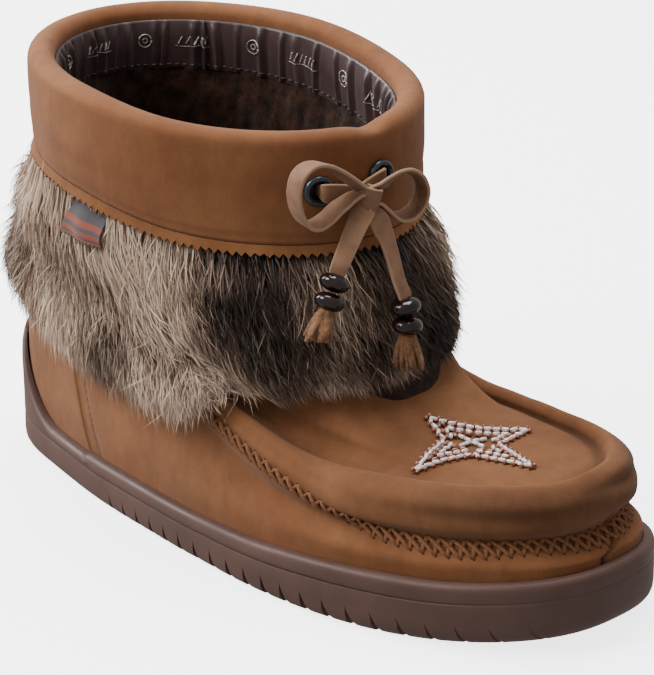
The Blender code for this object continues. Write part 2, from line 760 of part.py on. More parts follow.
def fur_offset(place):
    return FUR_GAP + FUR_DEPTH * curve(column(FUR_PROFILE, 0), column(FUR_PROFILE, 1), place)


def over_valley(columns, rows, offset=0.0):
    """As skin, but straight across the valley between the puff's crest and the plug."""
    share = np.clip((rows - CREST) / (PLUG - CREST), 0.0, 1.0)[..., None]
    straight = skin(columns, CREST, offset) * (1.0 - share) + skin(columns, PLUG, offset) * share
    return np.where((share > 0.0) & (share < 1.0), straight, skin(columns, rows, offset))


def bulge_past(line, columns, rows):
    """How far the upper stands out past points of a straight line, at the line's columns and rows."""
    normal = over_valley(columns, rows, 1.0) - over_valley(columns, rows)
    return np.maximum(((skin(columns, rows) - line) * normal).sum(axis=1), 0.0)


def clear_offset(rows):
    """Offset at each ring that keeps the straight steps along and between the rings off the upper."""
    bulge = np.zeros((len(rows), COLUMNS))
    points = [over_valley(ALL_COLUMNS, row) for row in rows]
    for share in np.linspace(0.1, 0.9, 9):
        for ring in range(len(rows) - 1):
            row = rows[ring] + (rows[ring + 1] - rows[ring]) * share
            line = points[ring] * (1.0 - share) + points[ring + 1] * share
            past = bulge_past(line, ALL_COLUMNS, row)
            bulge[ring : ring + 2] = np.maximum(bulge[ring : ring + 2], past)
        for ring, row in enumerate(rows):
            between_rows = row * (1.0 - share) + np.roll(row, -1) * share
            line = points[ring] * (1.0 - share) + np.roll(points[ring], -1, axis=0) * share
            past = bulge_past(line, ALL_COLUMNS + share, between_rows)
            bulge[ring] = np.maximum(bulge[ring], np.maximum(past, np.roll(past, 1)))
    return FUR_GAP + bulge * BULGE_MARGIN


def make_fur():
    under_trim, hem = fur_ends(ALL_COLUMNS)
    top = row_at_height(GRID[OUTER_ROWS.index(SEAM), :, 2] - FIT_GAP, SEAM)
    hem = hem - LOCK_REACH * np.take(LOCK_LENGTHS, ALL_COLUMNS % len(LOCK_LENGTHS))
    rings = []
    for number, (place, _) in enumerate(FUR_PROFILE[:0:-1]):
        step = np.take(LOCK_STEPS, (ALL_COLUMNS * 3 + number * 5) % len(LOCK_STEPS))
        lock = LOCK_DEPTH * step * ease(place / 0.3)
        rows = under_trim + (hem - under_trim) * place
        rings.append(over_valley(ALL_COLUMNS, rows, fur_offset(place) + lock))
    rings.append(skin(ALL_COLUMNS, under_trim, FUR_GAP + FUR_HIDE))
    rings.append(skin(ALL_COLUMNS, top, FUR_GAP + FUR_HIDE))
    inner_rows = [top + (hem - top) * share for share in np.linspace(0.0, 1.0, FUR_INNER_RINGS)]
    for row, offset in zip(inner_rows, clear_offset(inner_rows)):
        rings.append(over_valley(ALL_COLUMNS, row, offset))
    loop_solid("fur_cuff", rings, material("fur", (0.36, 0.30, 0.24), 0.95))


def make_label():
    """A woven tab that hangs over the fur from under the trim."""
    middle = column_toward(LABEL_BEARING)
    whole = np.array([middle, middle + 1.0])
    spacing = np.linalg.norm(np.diff(skin(whole, SEAM, FUR_DEPTH), axis=0))
    columns = middle + np.linspace(-0.5, 0.5, 5) * LABEL_WIDTH / spacing
    under_trim, hem = fur_ends(columns)
    drop = skin(columns, under_trim)[:, 2] - skin(columns, under_trim - 1.0)[:, 2]
    inner = []
    outer = []
    for share in np.linspace(0.0, 1.0, 4):
        row = under_trim - (FIT_GAP + share * LABEL_HEIGHT) / drop
        place = (under_trim - row) / (under_trim - hem)
        over_fur = fur_offset(place) + LOCK_DEPTH * ease(place / 0.3) + LABEL_GAP
        inner.append(skin(columns, row, over_fur))
        outer.append(skin(columns, row, over_fur + LABEL_THICKNESS))
    cloth = material("label cloth", (0.10, 0.10, 0.11), 0.9)
    add_patch("side_label", np.array(inner), np.array(outer), cloth)


def add_patch(name, inner, outer, made_of):
    """A thin slab between two grids of points of the same size."""
    rows, columns = inner.shape[:2]
    size = rows * columns
    faces = []
    for r in range(rows - 1):
        for c in range(columns - 1):
            a = r * columns + c
            quad = (a, a + 1, a + columns + 1, a + columns)
            faces += [quad, tuple(size + i for i in quad[::-1])]
    border = [c for c in range(columns)]
    border += [r * columns + columns - 1 for r in range(1, rows)]
    border += [(rows - 1) * columns + c for c in range(columns - 2, -1, -1)]
    border += [r * columns for r in range(rows - 2, 0, -1)]
    for a, b in zip(border, border[1:] + border[:1]):
        faces.append((b, a, size + a, size + b))
    add_solid(name, np.concatenate([inner.reshape(-1, 3), outer.reshape(-1, 3)]), faces, made_of)


def make_star():
    """A four-pointed star that lies on the plug, laid on it point by point."""
    facets = ring_faces(len(OUTER_ROWS), COLUMNS, False)
    plug = BVHTree.FromPolygons(GRID.reshape(-1, 3).tolist(), facets)
    tips = np.array(STAR_TIPS)
    waists = tips / np.linalg.norm(tips, axis=1)[:, None]
    waists = waists + np.roll(waists, -1, axis=0)
    waists *= STAR_WAIST / np.linalg.norm(waists, axis=1)[:, None]
    spokes = np.stack([tips, waists], axis=1).reshape(-1, 2)
    under = []
    for share in (1.0, 0.5):
        under += [tuple(STAR_CENTRE + spoke * share) for spoke in spokes]
    under.append(STAR_CENTRE)
    low = np.array([(x, y, plug.ray_cast((x, y, RIM_HEIGHT / 2.0), (0.0, 0.0, -1.0))[0].z) for x, y in under])
    low[:, 2] += STAR_GAP
    high = low + np.array([0.0, 0.0, STAR_THICKNESS])
    faces = []
    for k in range(8):
        n = (k + 1) % 8
        top = [(k, n, 8 + n, 8 + k), (8 + k, 8 + n, 16)]
        faces += [tuple(17 + i for i in face) for face in top]
        faces += [face[::-1] for face in top]
        faces.append((k, n, 17 + n, 17 + k))
    beads = material("star beads", (0.85, 0.74, 0.70), 0.2)
    add_solid("bead_star", np.concatenate([low, high]), faces, beads)


def smooth_path(points, steps):
    """Points on a smooth curve through the given ones, with a number of steps between each two."""
    points = np.asarray(points, float)
    ends = np.concatenate([[2.0 * points[0] - points[1]], points, [2.0 * points[-1] - points[-2]]])
    places = np.linspace(1.0, len(points), (len(points) - 1) * steps + 1)
    return np.array([between(ends, place) for place in places])


def strap(name, path, wide, widths, made_of):
    """A flat thong along a path. wide gives the direction of its width at each point."""
    along = np.gradient(path, axis=0)
    along /= np.linalg.norm(along, axis=1)[:, None]
    wide = wide - along * (wide * along).sum(axis=1)[:, None]
    wide /= np.linalg.norm(wide, axis=1)[:, None]
    thick = np.cross(along, wide) * LACE_THICKNESS / 2.0
    wide = wide * np.broadcast_to(widths, len(path))[:, None] / 2.0
    corners = (path + wide + thick, path - wide + thick, path - wide - thick, path + wide - thick)
    rings = np.stack(corners, axis=1)
    add_solid(name, rings.reshape(-1, 3), turned_faces(len(path), 4), made_of)


def make_bow():
    thong = material("thong leather", (0.33, 0.18, 0.10), 0.75)
    knot, left, up, out = shaft_frame(KNOT_PLACE, FIT_GAP + COLLAR_PAD + KNOT_STAND_OFF)
    frame = np.array([left, up, out])

    centre = knot + np.array(KNOT_SHIFT) @ frame
    half = np.array(KNOT_SIZE) / 2.0
    profile = ((-1.0, 0.55), (-0.72, 0.90), (0.0, 1.0), (0.72, 0.90), (1.0, 0.55))
    rings = spun(np.zeros(3), np.array([0.0, 1.0, 0.0]), profile, KNOT_SIDES)
    points = centre + (rings.reshape(-1, 3) * half) @ frame
    add_solid("lace_knot", points, turned_faces(len(profile), KNOT_SIDES), thong)

    for name, table in (("bow_loop_left", LOOP_LEFT), ("bow_loop_right", LOOP_RIGHT)):
        bent = smooth_path(table, 2)
        path = knot + np.column_stack([bent[:, :2], np.zeros(len(bent))]) @ frame
        tilt = np.radians(bent[:, 2])
        wide = np.column_stack([np.zeros(len(bent)), np.sin(tilt), np.cos(tilt)]) @ frame
        strap(name, path, wide, LACE_WIDTH, thong)

    for name, table in (("lace_tail_left", TAIL_LEFT), ("lace_tail_right", TAIL_RIGHT)):
        bent = smooth_path(table, 2)
        path = knot + bent[:, :3] @ frame
        twist = np.radians(bent[:, 3])
        wide = np.column_stack([np.cos(twist), np.zeros(len(bent)), np.sin(twist)]) @ frame
        strap(name, path, wide, LACE_WIDTH * np.linspace(1.0, 0.7, len(path)), thong)

    make_bar(thong)
    hang_beads("left", TAIL_LEFT, TUFT_LEFT_END, knot, frame)
    hang_beads("right", TAIL_RIGHT, TUFT_RIGHT_END, knot, frame)


def make_bar(thong):
    """The thong in front of the collar, from one eyelet's hole over the collar to the other's."""
    over_collar = FIT_GAP + COLLAR_PAD
    points = []
    wide = []
    for place, offsets in ((EYELET_LEFT, (0.0, 0.55, 1.0)), (EYELET_RIGHT, (1.0, 0.55, 0.0))):
        centre, left, up, out = shaft_frame(place, over_collar - COLLAR_PAD * 0.3)
        reach = BAR_OVER_EYELET + COLLAR_PAD * 0.3
        for share in offsets:
            toward = left * EYELET_HOLE * 0.12 * share * (-1.0 if place is EYELET_LEFT else 1.0)
            points.append(centre + out * reach * share + toward)
            wide.append(up)
        if place is EYELET_LEFT:
            middle, _, _, _ = shaft_frame(KNOT_PLACE, over_collar + BAR_STAND_OFF)
            points.append(middle)
            wide.append(up)
    path = smooth_path(points, 3)
    wide = smooth_path(wide, 3)
    share = np.abs(np.linspace(-1.0, 1.0, len(path)))
    widths = LACE_WIDTH + (LACE_NARROW - LACE_WIDTH) * ease((share - 0.2) / 0.3)
    strap("lace_bar", path, wide, widths, thong)


def hang_beads(side, tail, tuft_end, knot, frame):
    """Two beads and a frayed tuft in line below the end of a tail."""
    wood = bpy.data.materials.get("bead wood") or material("bead wood", (0.018, 0.008, 0.008), 0.15)
    hide = bpy.data.materials.get("tuft hide") or material("tuft hide", (0.26, 0.12, 0.05), 0.9)
    start = knot + np.array(tail[-1][:3]) @ frame
    end = knot + np.array(tuft_end) @ frame
    axis = end - start
    length = np.linalg.norm(axis)
    axis /= length
    for number, name in enumerate(("upper", "lower")):
        profile = []
        for turn in np.radians((0.0, 28.0, 58.0, 90.0, 122.0, 152.0, 180.0)):
            radius = max(math.sin(turn), BEAD_BORE) * BEAD_DIAMETER / 2.0
            profile.append((-math.cos(turn) * BEAD_HEIGHT / 2.0, radius))
        centre = start + axis * (2.0 * FIT_GAP + BEAD_HEIGHT / 2.0 + number * (BEAD_HEIGHT + FIT_GAP))
        rings = spun(centre, axis, profile, BEAD_SIDES)
        name = f"bead_{side}_{name}"
        add_solid(name, rings.reshape(-1, 3), turned_faces(len(profile), BEAD_SIDES), wood)
    top = 2.0 * (BEAD_HEIGHT + FIT_GAP) + 2.0 * FIT_GAP
    tuft = length - top
    profile = [(top + place * tuft, share * TUFT_WIDTH / 2.0) for place, share in TUFT_SHAPE]
    rings = spun(start, axis, profile, TUFT_SIDES, 0.28)
    tips = np.take(TUFT_TIPS, np.arange(TUFT_SIDES) % len(TUFT_TIPS))
    last = rings[-1] + axis * (tips * tuft - TUFT_SHAPE[-1][0] * tuft)[:, None]
    inward = (start + axis * length - last) * 0.30
    rings = np.concatenate([rings, [last + inward - axis * (inward @ axis)[:, None]]])
    add_solid(f"tuft_{side}", rings.reshape(-1, 3), turned_faces(len(rings), TUFT_SIDES), hide)


def clear_scene():
    for existing in list(bpy.data.objects):
        bpy.data.objects.remove(existing, do_unlink=True)


def main():
    clear_scene()
    make_outsole()
    make_insole()
    make_upper()
    make_collar()
    make_eyelets()
    make_trim()
    make_fur()
    make_label()
    make_star()
    make_bow()


main()
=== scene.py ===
"""Looks of the short mukluk boot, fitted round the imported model. Metres, +X to the toe, +Z up."""

import math

import bpy
import numpy as np
from mathutils import Matrix, Vector
from mathutils.bvhtree import BVHTree


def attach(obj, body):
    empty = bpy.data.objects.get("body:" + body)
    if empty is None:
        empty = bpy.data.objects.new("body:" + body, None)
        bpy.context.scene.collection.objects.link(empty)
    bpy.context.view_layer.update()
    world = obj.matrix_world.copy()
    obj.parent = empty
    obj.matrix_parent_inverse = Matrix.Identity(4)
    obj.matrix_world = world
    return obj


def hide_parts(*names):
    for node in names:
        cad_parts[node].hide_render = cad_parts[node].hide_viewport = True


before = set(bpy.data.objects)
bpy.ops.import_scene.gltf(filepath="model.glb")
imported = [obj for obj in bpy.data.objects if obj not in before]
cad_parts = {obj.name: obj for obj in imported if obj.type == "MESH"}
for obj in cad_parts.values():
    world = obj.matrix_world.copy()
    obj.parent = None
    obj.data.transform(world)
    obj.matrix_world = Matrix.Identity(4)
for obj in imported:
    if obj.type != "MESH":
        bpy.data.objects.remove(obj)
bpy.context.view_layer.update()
BODY = "root"

# Sizes of the linings, measured down from the rim
SATIN_TOP = 0.0006
SATIN_DROP = 0.0225

# Sizes shared with the model
SOLE_LENGTH = 0.2795
HEEL_REACH = 0.0348
BALL_WIDTH = 0.105
SOLE_THICKNESS = 0.0200
LIP_WIDTH = 0.0043
LIP_DEPTH = 0.0040
LIP_ROUND = 0.0016
TOE_SPRING = 0.0070
ARCH_RISE = 0.0006
HEEL_BEVEL = 0.0018
CUP_RISE = 0.0300
CUP_WALL = 0.0022
CUP_ANGLES = (10.0, 46.0)
TREAD_PITCH = 0.0091
TREAD_GAP = 0.0024
TREAD_DEPTH = 0.0030
NOTCH_HEIGHT = 0.0052
NOTCH_LEAN = 0.0030
TREAD_SWEEP = 0.0120
CENTRE_RIB = 0.0140
TREAD_START = 0.285
TREAD_END = 0.945
TREAD_REACH = 0.62
VAMP_HEIGHT = 0.0575
RIM_HEIGHT = 0.1560
SHAFT_LENGTH = 0.1444
SHAFT_WIDTH = 0.1136
SHAFT_FRONT = 0.1332
SHAFT_SIDE = 0.0025
INNER_LIFT = 0.0030
WALL = 0.0024
COUNTER_RISE = 0.0010
COUNTER_STEP = 1.6
COLLAR_PAD = 0.0044
COLLAR_LINING = 0.0024
COLLAR_ROLL = 0.0050
COLLAR_LIFT = 0.0036
TRIM_THICKNESS = 0.0011
TRIM_HEIGHT = 0.0046
FUR_DEPTH = 0.0100
FUR_HIDE = 0.0016
FUR_GAP = 0.0010
LABEL_WIDTH = 0.0205
LABEL_HEIGHT = 0.0112
LABEL_THICKNESS = 0.0012
LABEL_BEARING = -98.5
EYELET_HOLE = 0.0060
EYELET_WALL = 0.0006
EYELET_FLANGE = 0.0110
EYELET_RIM = 0.0010
EYELET_LEFT = (-18.7, 0.1365)
EYELET_RIGHT = (-1.2, 0.1380)
KNOT_PLACE = (-7.6, 0.1337)
KNOT_STAND_OFF = 0.0080
KNOT_SHIFT = (0.0025, 0.0008, -0.0008)
LACE_WIDTH = 0.0080
LACE_THICKNESS = 0.0014
BEAD_DIAMETER = 0.0105
BEAD_HEIGHT = 0.0062
BEAD_BORE = 0.32
TUFT_WIDTH = 0.0110
STAR_CENTRE = (0.181, 0.0005)
STAR_TIPS = ((0.0265, 0.0005), (0.0082, 0.0190), (-0.0180, -0.0018), (-0.0022, -0.0252))
FIT_GAP = 0.0003

OUTLINE = (
    # place, centre, half
    (0.000, 0.00, 0.93),
    (0.120, 0.02, 0.88),
    (0.280, -0.07, 0.83),
    (0.480, -0.12, 0.89),
    (0.700, -0.04, 1.065),
    (0.835, 0.02, 1.12),
    (0.950, 0.09, 1.20),
    (1.000, 0.10, 1.22),
)
LIP = (
    (0.00, 0.75),
    (0.20, 0.765),
    (0.40, 0.82),
    (0.57, 0.87),
    (0.70, 1.00),
    (0.85, 1.11),
    (0.95, 1.29),
    (1.00, 1.40),
)
FOOT_RINGS = (
    # back, front, shape, w_heel, w_waist, w_ball, z_heel, z_waist, z_ball, z_toe
    (0.012, 0.981, 0.0, 0.90, 0.930, 0.925, 0.192, 0.180, 0.480, 0.545),
    (0.014, 0.958, 0.0, 0.92, 0.930, 0.852, 0.300, 0.320, 0.590, 0.635),
    (0.017, 0.974, 0.0, 0.92, 0.945, 0.905, 0.365, 0.372, 0.690, 0.745),
    (0.021, 0.973, 0.0, 0.91, 0.950, 0.900, 0.423, 0.417, 0.805, 0.861),
    (0.026, 0.962, 0.0, 0.91, 0.950, 0.845, 0.474, 0.455, 0.890, 0.940),
    (0.033, 0.945, 0.0, 0.91, 0.950, 0.760, 0.526, 0.490, 0.930, 0.975),
    (0.039, 0.931, 0.0, 0.92, 0.950, 0.690, 0.558, 0.515, 0.870, 0.890),
    (0.045, 0.855, 0.2, 0.93, 0.945, 0.610, 0.590, 0.545, 0.925, 0.900),
    (0.050, 0.759, 0.4, 0.96, 0.945, 0.700, 0.622, 0.583, 1.120, 0.925),
)
SHAFT_RINGS = (
    (0.057, 0.684, 0.6, 0.95, 0.930, 0.800, 0.654, 0.626, 0.500, 0.385),
    (0.064, 0.641, 0.8, 0.98, 0.945, 0.885, 0.692, 0.669, 0.590, 0.487),
    (0.071, 0.620, 1.0, 0.97, 0.960, 0.955, 0.740, 0.720, 0.670, 0.622),
    (0.084, 0.601, 1.0, 0.97, 0.970, 0.970, 0.833, 0.811, 0.769, 0.747),
    (0.084, 0.600, 1.0, 1.00, 1.000, 1.000, 0.929, 0.904, 0.865, 0.853),
    (0.084, 0.599, 1.0, 1.00, 1.000, 1.000, 1.000, 0.987, 0.958, 0.946),
)
STATIONS = (0.0, 0.40, 0.72, 1.0)
CREST = 7
PLUG = 10
SEAM = 14
RIM = 16
COUNTER_COLUMNS = 6
SIDE_COLUMNS = 19
COUNTER_SEAM = (58.0, 44.0)
COUNTER_TOP = 6
HEM = (
    # angle, outer, inner
    (0.0, 4.3, 4.3),
    (22.0, 4.1, 4.3),
    (37.0, 3.4, 4.3),
    (52.0, 3.1, 4.2),
    (66.0, 3.0, 4.2),
    (80.0, 3.1, 4.1),
    (88.0, 3.8, 4.5),
    (95.0, 5.2, 5.6),
    (102.0, 7.5, 7.3),
    (109.0, 9.2, 8.7),
    (116.0, 10.0, 9.6),
    (130.0, 10.8, 10.8),
    (150.0, 11.3, 11.3),
    (180.0, 11.6, 11.6),
)
FUR_PROFILE = (
    # place, height of the hairs' tips
    (0.00, 0.16),
    (0.14, 0.52),
    (0.30, 0.82),
    (0.48, 0.96),
    (0.66, 1.00),
    (0.84, 0.86),
    (1.00, 0.50),
)
LOOP_LEFT = (
    # left, up, tilt
    (0.0062, 0.0056, 30.0),
    (0.0140, 0.0122, 15.0),
    (0.0202, 0.0160, 8.0),
    (0.0256, 0.0166, 4.0),
    (0.0300, 0.0138, 0.0),
    (0.0317, 0.0080, 0.0),
    (0.0308, 0.0020, 0.0),
    (0.0280, -0.0030, -5.0),
    (0.0240, -0.0047, -8.0),
    (0.0195, -0.0034, -8.0),
    (0.0138, 0.0002, -5.0),
    (0.0062, 0.0030, 0.0),
)
LOOP_RIGHT = (
    # left, up, tilt
    (-0.0012, 0.0036, 50.0),
    (-0.0050, 0.0050, 48.0),
    (-0.0092, 0.0067, 38.0),
    (-0.0135, 0.0074, 20.0),
    (-0.0178, 0.0050, 8.0),
    (-0.0200, 0.0000, 0.0),
    (-0.0188, -0.0047, -5.0),
    (-0.0145, -0.0082, -8.0),
    (-0.0092, -0.0082, -5.0),
    (-0.0046, -0.0044, 0.0),
    (-0.0012, -0.0016, 10.0),
)
TAIL_LEFT = (
    # left, up, out, twist
    (0.0060, -0.0016, 0.0030, -20.0),
    (0.0098, -0.0052, 0.0050, -30.0),
    (0.0148, -0.0102, 0.0075, -35.0),
    (0.0190, -0.0152, 0.0092, -35.0),
    (0.0212, -0.0186, 0.0098, -30.0),
)
TAIL_RIGHT = (
    # left, up, out, twist
    (0.0016, -0.0050, 0.0048, 10.0),
    (-0.0006, -0.0118, 0.0066, 15.0),
    (-0.0012, -0.0182, 0.0095, 20.0),
    (-0.0014, -0.0252, 0.0128, 20.0),
    (-0.0022, -0.0302, 0.0150, 15.0),
)
TUFT_LEFT_END = (0.0306, -0.0400, 0.0125)
TUFT_RIGHT_END = (-0.0020, -0.0545, 0.0200)

# Centre of the herringbone seam
STITCH_LINE = (
    # columns from the toe, row of the upper
    (0.0, 2.60),
    (3.0, 2.85),
    (6.0, 2.62),
    (8.2, 2.90),
    (9.0, 3.40),
    (10.0, 4.10),
    (11.3, 4.50),
    (14.0, 4.90),
)
STITCH_PITCH = 0.0043

# Column at the toe, and fine columns to each of the model's
TOE = COUNTER_COLUMNS + 1 + SIDE_COLUMNS
FINE = 7

# Stitches and seams of the upper: reaches in columns from the toe, the rest in rows or metres
STITCH_RADIUS = 0.00092
STITCH_ARCH = 0.0012
STITCH_REACH = 13.6
STITCH_HALF = 0.38
HOLE_HALF = 0.43
BAND_REACH = 14.0
VALLEY_ROW = 8.0
VALLEY_REACH = 13.0
TOE_SEAM_TOP = 3.6
TOE_SEAM_SHIFT = 3.0 / FINE
TOE_SEAM_LEAN = 0.42

# Columns from the heel of the counter's two seams
COUNTER_SEAMS = (6.45, 7.25)

# Creases of the vamp and puff
CREASES = (
    # column, row, rows per column, half length in columns, depth
    (30.5, 4.6, 0.05, 3.2, 0.0007),
    (24.6, 5.2, 0.10, 1.3, 0.0016),
    (25.4, 3.7, -0.10, 1.0, 0.0010),
    (36.4, 5.6, 0.22, 1.3, 0.0006),
    (38.6, 3.6, 0.25, 1.2, 0.0006),
    (21.0, 4.8, 0.05, 2.0, 0.0008),
    (15.5, 4.2, -0.22, 1.6, 0.0008),
    (33.5, 9.2, 0.10, 1.4, 0.0006),
    (19.2, 9.3, 0.10, 1.4, 0.0006),
)

# Soft dents of the collar
COLLAR_CREASES = (
    # column, place up the collar, rise per column, half length in columns, depth
    (30.0, 0.50, 0.03, 2.2, 0.0006),
    (40.0, 0.35, -0.02, 3.0, 0.0005),
    (48.0, 0.60, 0.04, 2.2, 0.0005),
    (20.0, 0.45, -0.03, 2.4, 0.0006),
    (5.0, 0.40, 0.02, 3.0, 0.0005),
    (TOE + 1.0, 0.72, 0.05, 1.2, 0.0008),
)

# Side of the sole, as shares of its height and of the lip's width, and the size of its cut notches
SOLE_SIDE = (
    # height, inset
    (0.00, 0.50),
    (0.02, 0.36),
    (0.07, 0.17),
    (0.14, 0.05),
    (0.24, 0.00),
    (0.45, 0.00),
    (0.62, 0.01),
    (0.660, 0.05),
    (0.678, 0.20),
    (0.697, 0.07),
    (0.722, 0.02),
    (0.80, 0.01),
)
SOLE_GROOVE = (0.65, 0.75)
NOTCH_DEEPER = 1.7
NOTCH_WIDER = 2.4

# Linings: what they stand off the collar's inside, and how far down the fleece goes
SATIN_GAP = 0.0006
FLEECE_DEPTH = 0.0032
FLEECE_DROP = 0.060
PRINT_DROP = 0.0105

# Fur: places as shares of the way from the trim to the hem, reaches in columns from the toe
FUR_PLACES = np.linspace(-0.10, 1.12, 31)
UNDERCOAT = (
    # place, depth
    (-0.06, 0.10),
    (0.0, 0.16),
    (0.1, 0.30),
    (0.3, 0.42),
    (0.6, 0.46),
    (0.80, 0.38),
    (0.90, 0.24),
    (0.96, 0.08),
)
DARK_REACH = 10.2
DARK_FADE = 3.2
HEM_SHORT = 0.15
LOCKS = 1120
LOCK_HAIRS = 24
LOCK_LENGTH = (0.013, 0.021)
LOCK_SPREAD = 0.0026
HAIR_HALF_WIDTHS = (0.00016, 0.00019, 0.00016, 0.00010)

# Beads of the star
STAR_ROWS = (
    # distance in from the edge, kind, half length
    (0.0000, "white", 0.00125),
    (0.0016, "copper", 0.0010),
    (0.0031, "white", 0.0011),
    (0.0046, "copper", 0.0010),
)
STAR_WAIST = 0.0092
BEAD_PITCH = 0.0027
WHITE_RADIUS = 0.00075
COPPER_RADIUS = 0.00078

# Flat thong: half of its section, across and out as shares, and how much of the worn edge shows there
THONG_SECTION = (
    # across, out, edge
    (-1.0, 0.0, 1.0),
    (-0.96, 0.8, 0.8),
    (-0.84, 1.0, 0.0),
    (0.0, 1.0, 0.0),
    (0.84, 1.0, 0.0),
    (0.96, 0.8, 0.8),
)
THONG_STEPS = 8
TUFT_STRANDS = 64


# Form of the shoe, as in the model


def ease(value):
    clipped = np.clip(value, 0.0, 1.0)
    return clipped * clipped * (3.0 - 2.0 * clipped)


def unit(vectors):
    """The vectors at length one. One of no length stays as it is."""
    return vectors / np.maximum(np.linalg.norm(vectors, axis=-1, keepdims=True), 1e-9)


def curve(knots, values, where):
    """A smooth curve through the knots that doesn't overshoot them."""
    knots = np.asarray(knots, float)
    values = np.asarray(values, float)
    where = np.clip(np.asarray(where, float), knots[0], knots[-1])
    slope = np.diff(values) / np.diff(knots)
    tangent = np.zeros(len(knots))
    same_way = slope[:-1] * slope[1:] > 0.0
    total = np.where(same_way, slope[:-1] + slope[1:], 1.0)
    tangent[1:-1] = np.where(same_way, 2.0 * slope[:-1] * slope[1:] / total, 0.0)
    tangent[0], tangent[-1] = slope[0], slope[-1]
    piece = np.clip(np.searchsorted(knots, where, side="right") - 1, 0, len(knots) - 2)
    width = knots[piece + 1] - knots[piece]
    u = (where - knots[piece]) / width
    start = values[piece] + (values[piece + 1] - values[piece]) * ease(u)
    bend_in = u * (1.0 - u) ** 2 * tangent[piece]
    bend_out = u * u * (1.0 - u) * tangent[piece + 1]
    return start + width * (bend_in - bend_out)


def table(rows, where, index=1):
    return curve([row[0] for row in rows], [row[index] for row in rows], where)


def share_at(angles):
    return (1.0 - np.cos(angles)) / 2.0


def foot_profile(share, rounding):
    return table(OUTLINE, share, 2) * rounding**0.8


def centre_line(share):
    return table(OUTLINE, share, 1) * BALL_WIDTH / 2.0


def sole_outline(angles, inset):
    share = share_at(angles)
    half = foot_profile(share, np.abs(np.sin(angles))) * BALL_WIDTH / 2.0
    x = SOLE_LENGTH * share - HEEL_REACH
    y = centre_line(share) + np.where(np.sin(angles) >= 0.0, half, -half)
    plan = np.stack([x, y], axis=1)
    along = np.roll(plan, -1, axis=0) - np.roll(plan, 1, axis=0)
    outward = unit(np.stack([-along[:, 1], along[:, 0]], axis=1))
    return plan - outward * np.broadcast_to(inset, len(plan))[:, None]


def place_of(x):
    return np.clip((np.asarray(x) + HEEL_REACH) / SOLE_LENGTH, 0.0, 1.0)


def ground(x):
    place = place_of(x)
    toe = TOE_SPRING * np.clip((place - 0.74) / 0.26, 0.0, 1.0) ** 2
    arch = ARCH_RISE * ease((place - 0.30) / 0.10) * ease((0.58 - place) / 0.10)
    return toe + arch + HEEL_BEVEL * np.clip(1.0 - place / 0.05, 0.0, 1.0)


def lip_height(x):
    return table(LIP, place_of(x)) * SOLE_THICKNESS


def column_angles(row, fine=FINE):
    """Angles of the fine columns at a row, in radians, from the heel round the inner side."""
    rise = min(row / COUNTER_TOP, 1.0)
    seam = COUNTER_SEAM[0] + (COUNTER_SEAM[1] - COUNTER_SEAM[0]) * rise
    heel = np.linspace(0.0, seam, COUNTER_COLUMNS + 1)
    front = np.linspace(seam + COUNTER_STEP, 180.0, SIDE_COLUMNS + 1)
    half = np.concatenate([heel, front])
    whole = np.concatenate([half, 360.0 - half[-2::-1]])
    count = len(whole) - 1
    return np.radians(np.interp(np.arange(count * fine) / fine, np.arange(count + 1), whole))


COLUMNS = len(column_angles(0, 1))
STEPS = COLUMNS * FINE
FINE_COLUMNS = np.arange(STEPS) / FINE


def beside(columns, centre):
    """Columns past a centre column, by the shorter way round."""
    return (columns - centre + COLUMNS / 2.0) % COLUMNS - COLUMNS / 2.0


def from_toe(columns):
    return np.abs(beside(columns, TOE))


def from_heel(columns):
    return np.minimum(columns, COLUMNS - columns)


def degrees_from_heel(row):
    angles = np.degrees(column_angles(row))
    return np.minimum(angles, 360.0 - angles)


def table_ring(values, row, in_shaft):
    back, front, shape, w_heel, w_waist, w_ball, z_heel, z_waist, z_ball, z_toe = values
    angles = column_angles(row)
    share = share_at(angles)
    rounding = np.abs(np.sin(angles))
    width = curve(STATIONS, (w_heel, w_waist, w_ball, w_ball), share)
    half_size = (SHAFT_WIDTH if in_shaft else BALL_WIDTH) / 2.0
    half = width * half_size * (foot_profile(share, rounding) * (1.0 - shape) + rounding * shape)
    middle = centre_line(share) * (1.0 - shape) + SHAFT_SIDE * shape
    start = SOLE_LENGTH * back - HEEL_REACH
    length = SOLE_LENGTH * (front - back)
    if in_shaft:
        start += SHAFT_FRONT - (SOLE_LENGTH * SHAFT_RINGS[-1][1] - HEEL_REACH)
        stretch = SHAFT_LENGTH - SOLE_LENGTH * (SHAFT_RINGS[-1][1] - SHAFT_RINGS[-1][0])
        start -= stretch
        length += stretch
    x = start + length * share
    y = middle + np.where(np.sin(angles) >= 0.0, half, -half)
    front_size = RIM_HEIGHT if in_shaft else VAMP_HEIGHT
    heights = (z_heel * RIM_HEIGHT, z_waist * RIM_HEIGHT, z_ball * front_size, z_toe * front_size)
    tilt = INNER_LIFT * np.sin(angles) * ease((row - 2.0) / (CREST - 2.0)) * ease((SEAM - row) / 3.0)
    return np.stack([x, y, curve(STATIONS, heights, share) + tilt], axis=1)


def foot_ring(row):
    plan = sole_outline(column_angles(row), LIP_WIDTH)
    rise = FIT_GAP if row == 0 else LIP_DEPTH + LIP_ROUND
    return np.column_stack([plan, lip_height(plan[:, 0]) - LIP_DEPTH + rise])


def make_rings():
    rings = [foot_ring(0), foot_ring(1)]
    rings += [table_ring(row, 2 + number, False) for number, row in enumerate(FOOT_RINGS)]
    rings += [table_ring(row, 2 + len(FOOT_RINGS) + number, True) for number, row in enumerate(SHAFT_RINGS)]
    return np.array(rings)


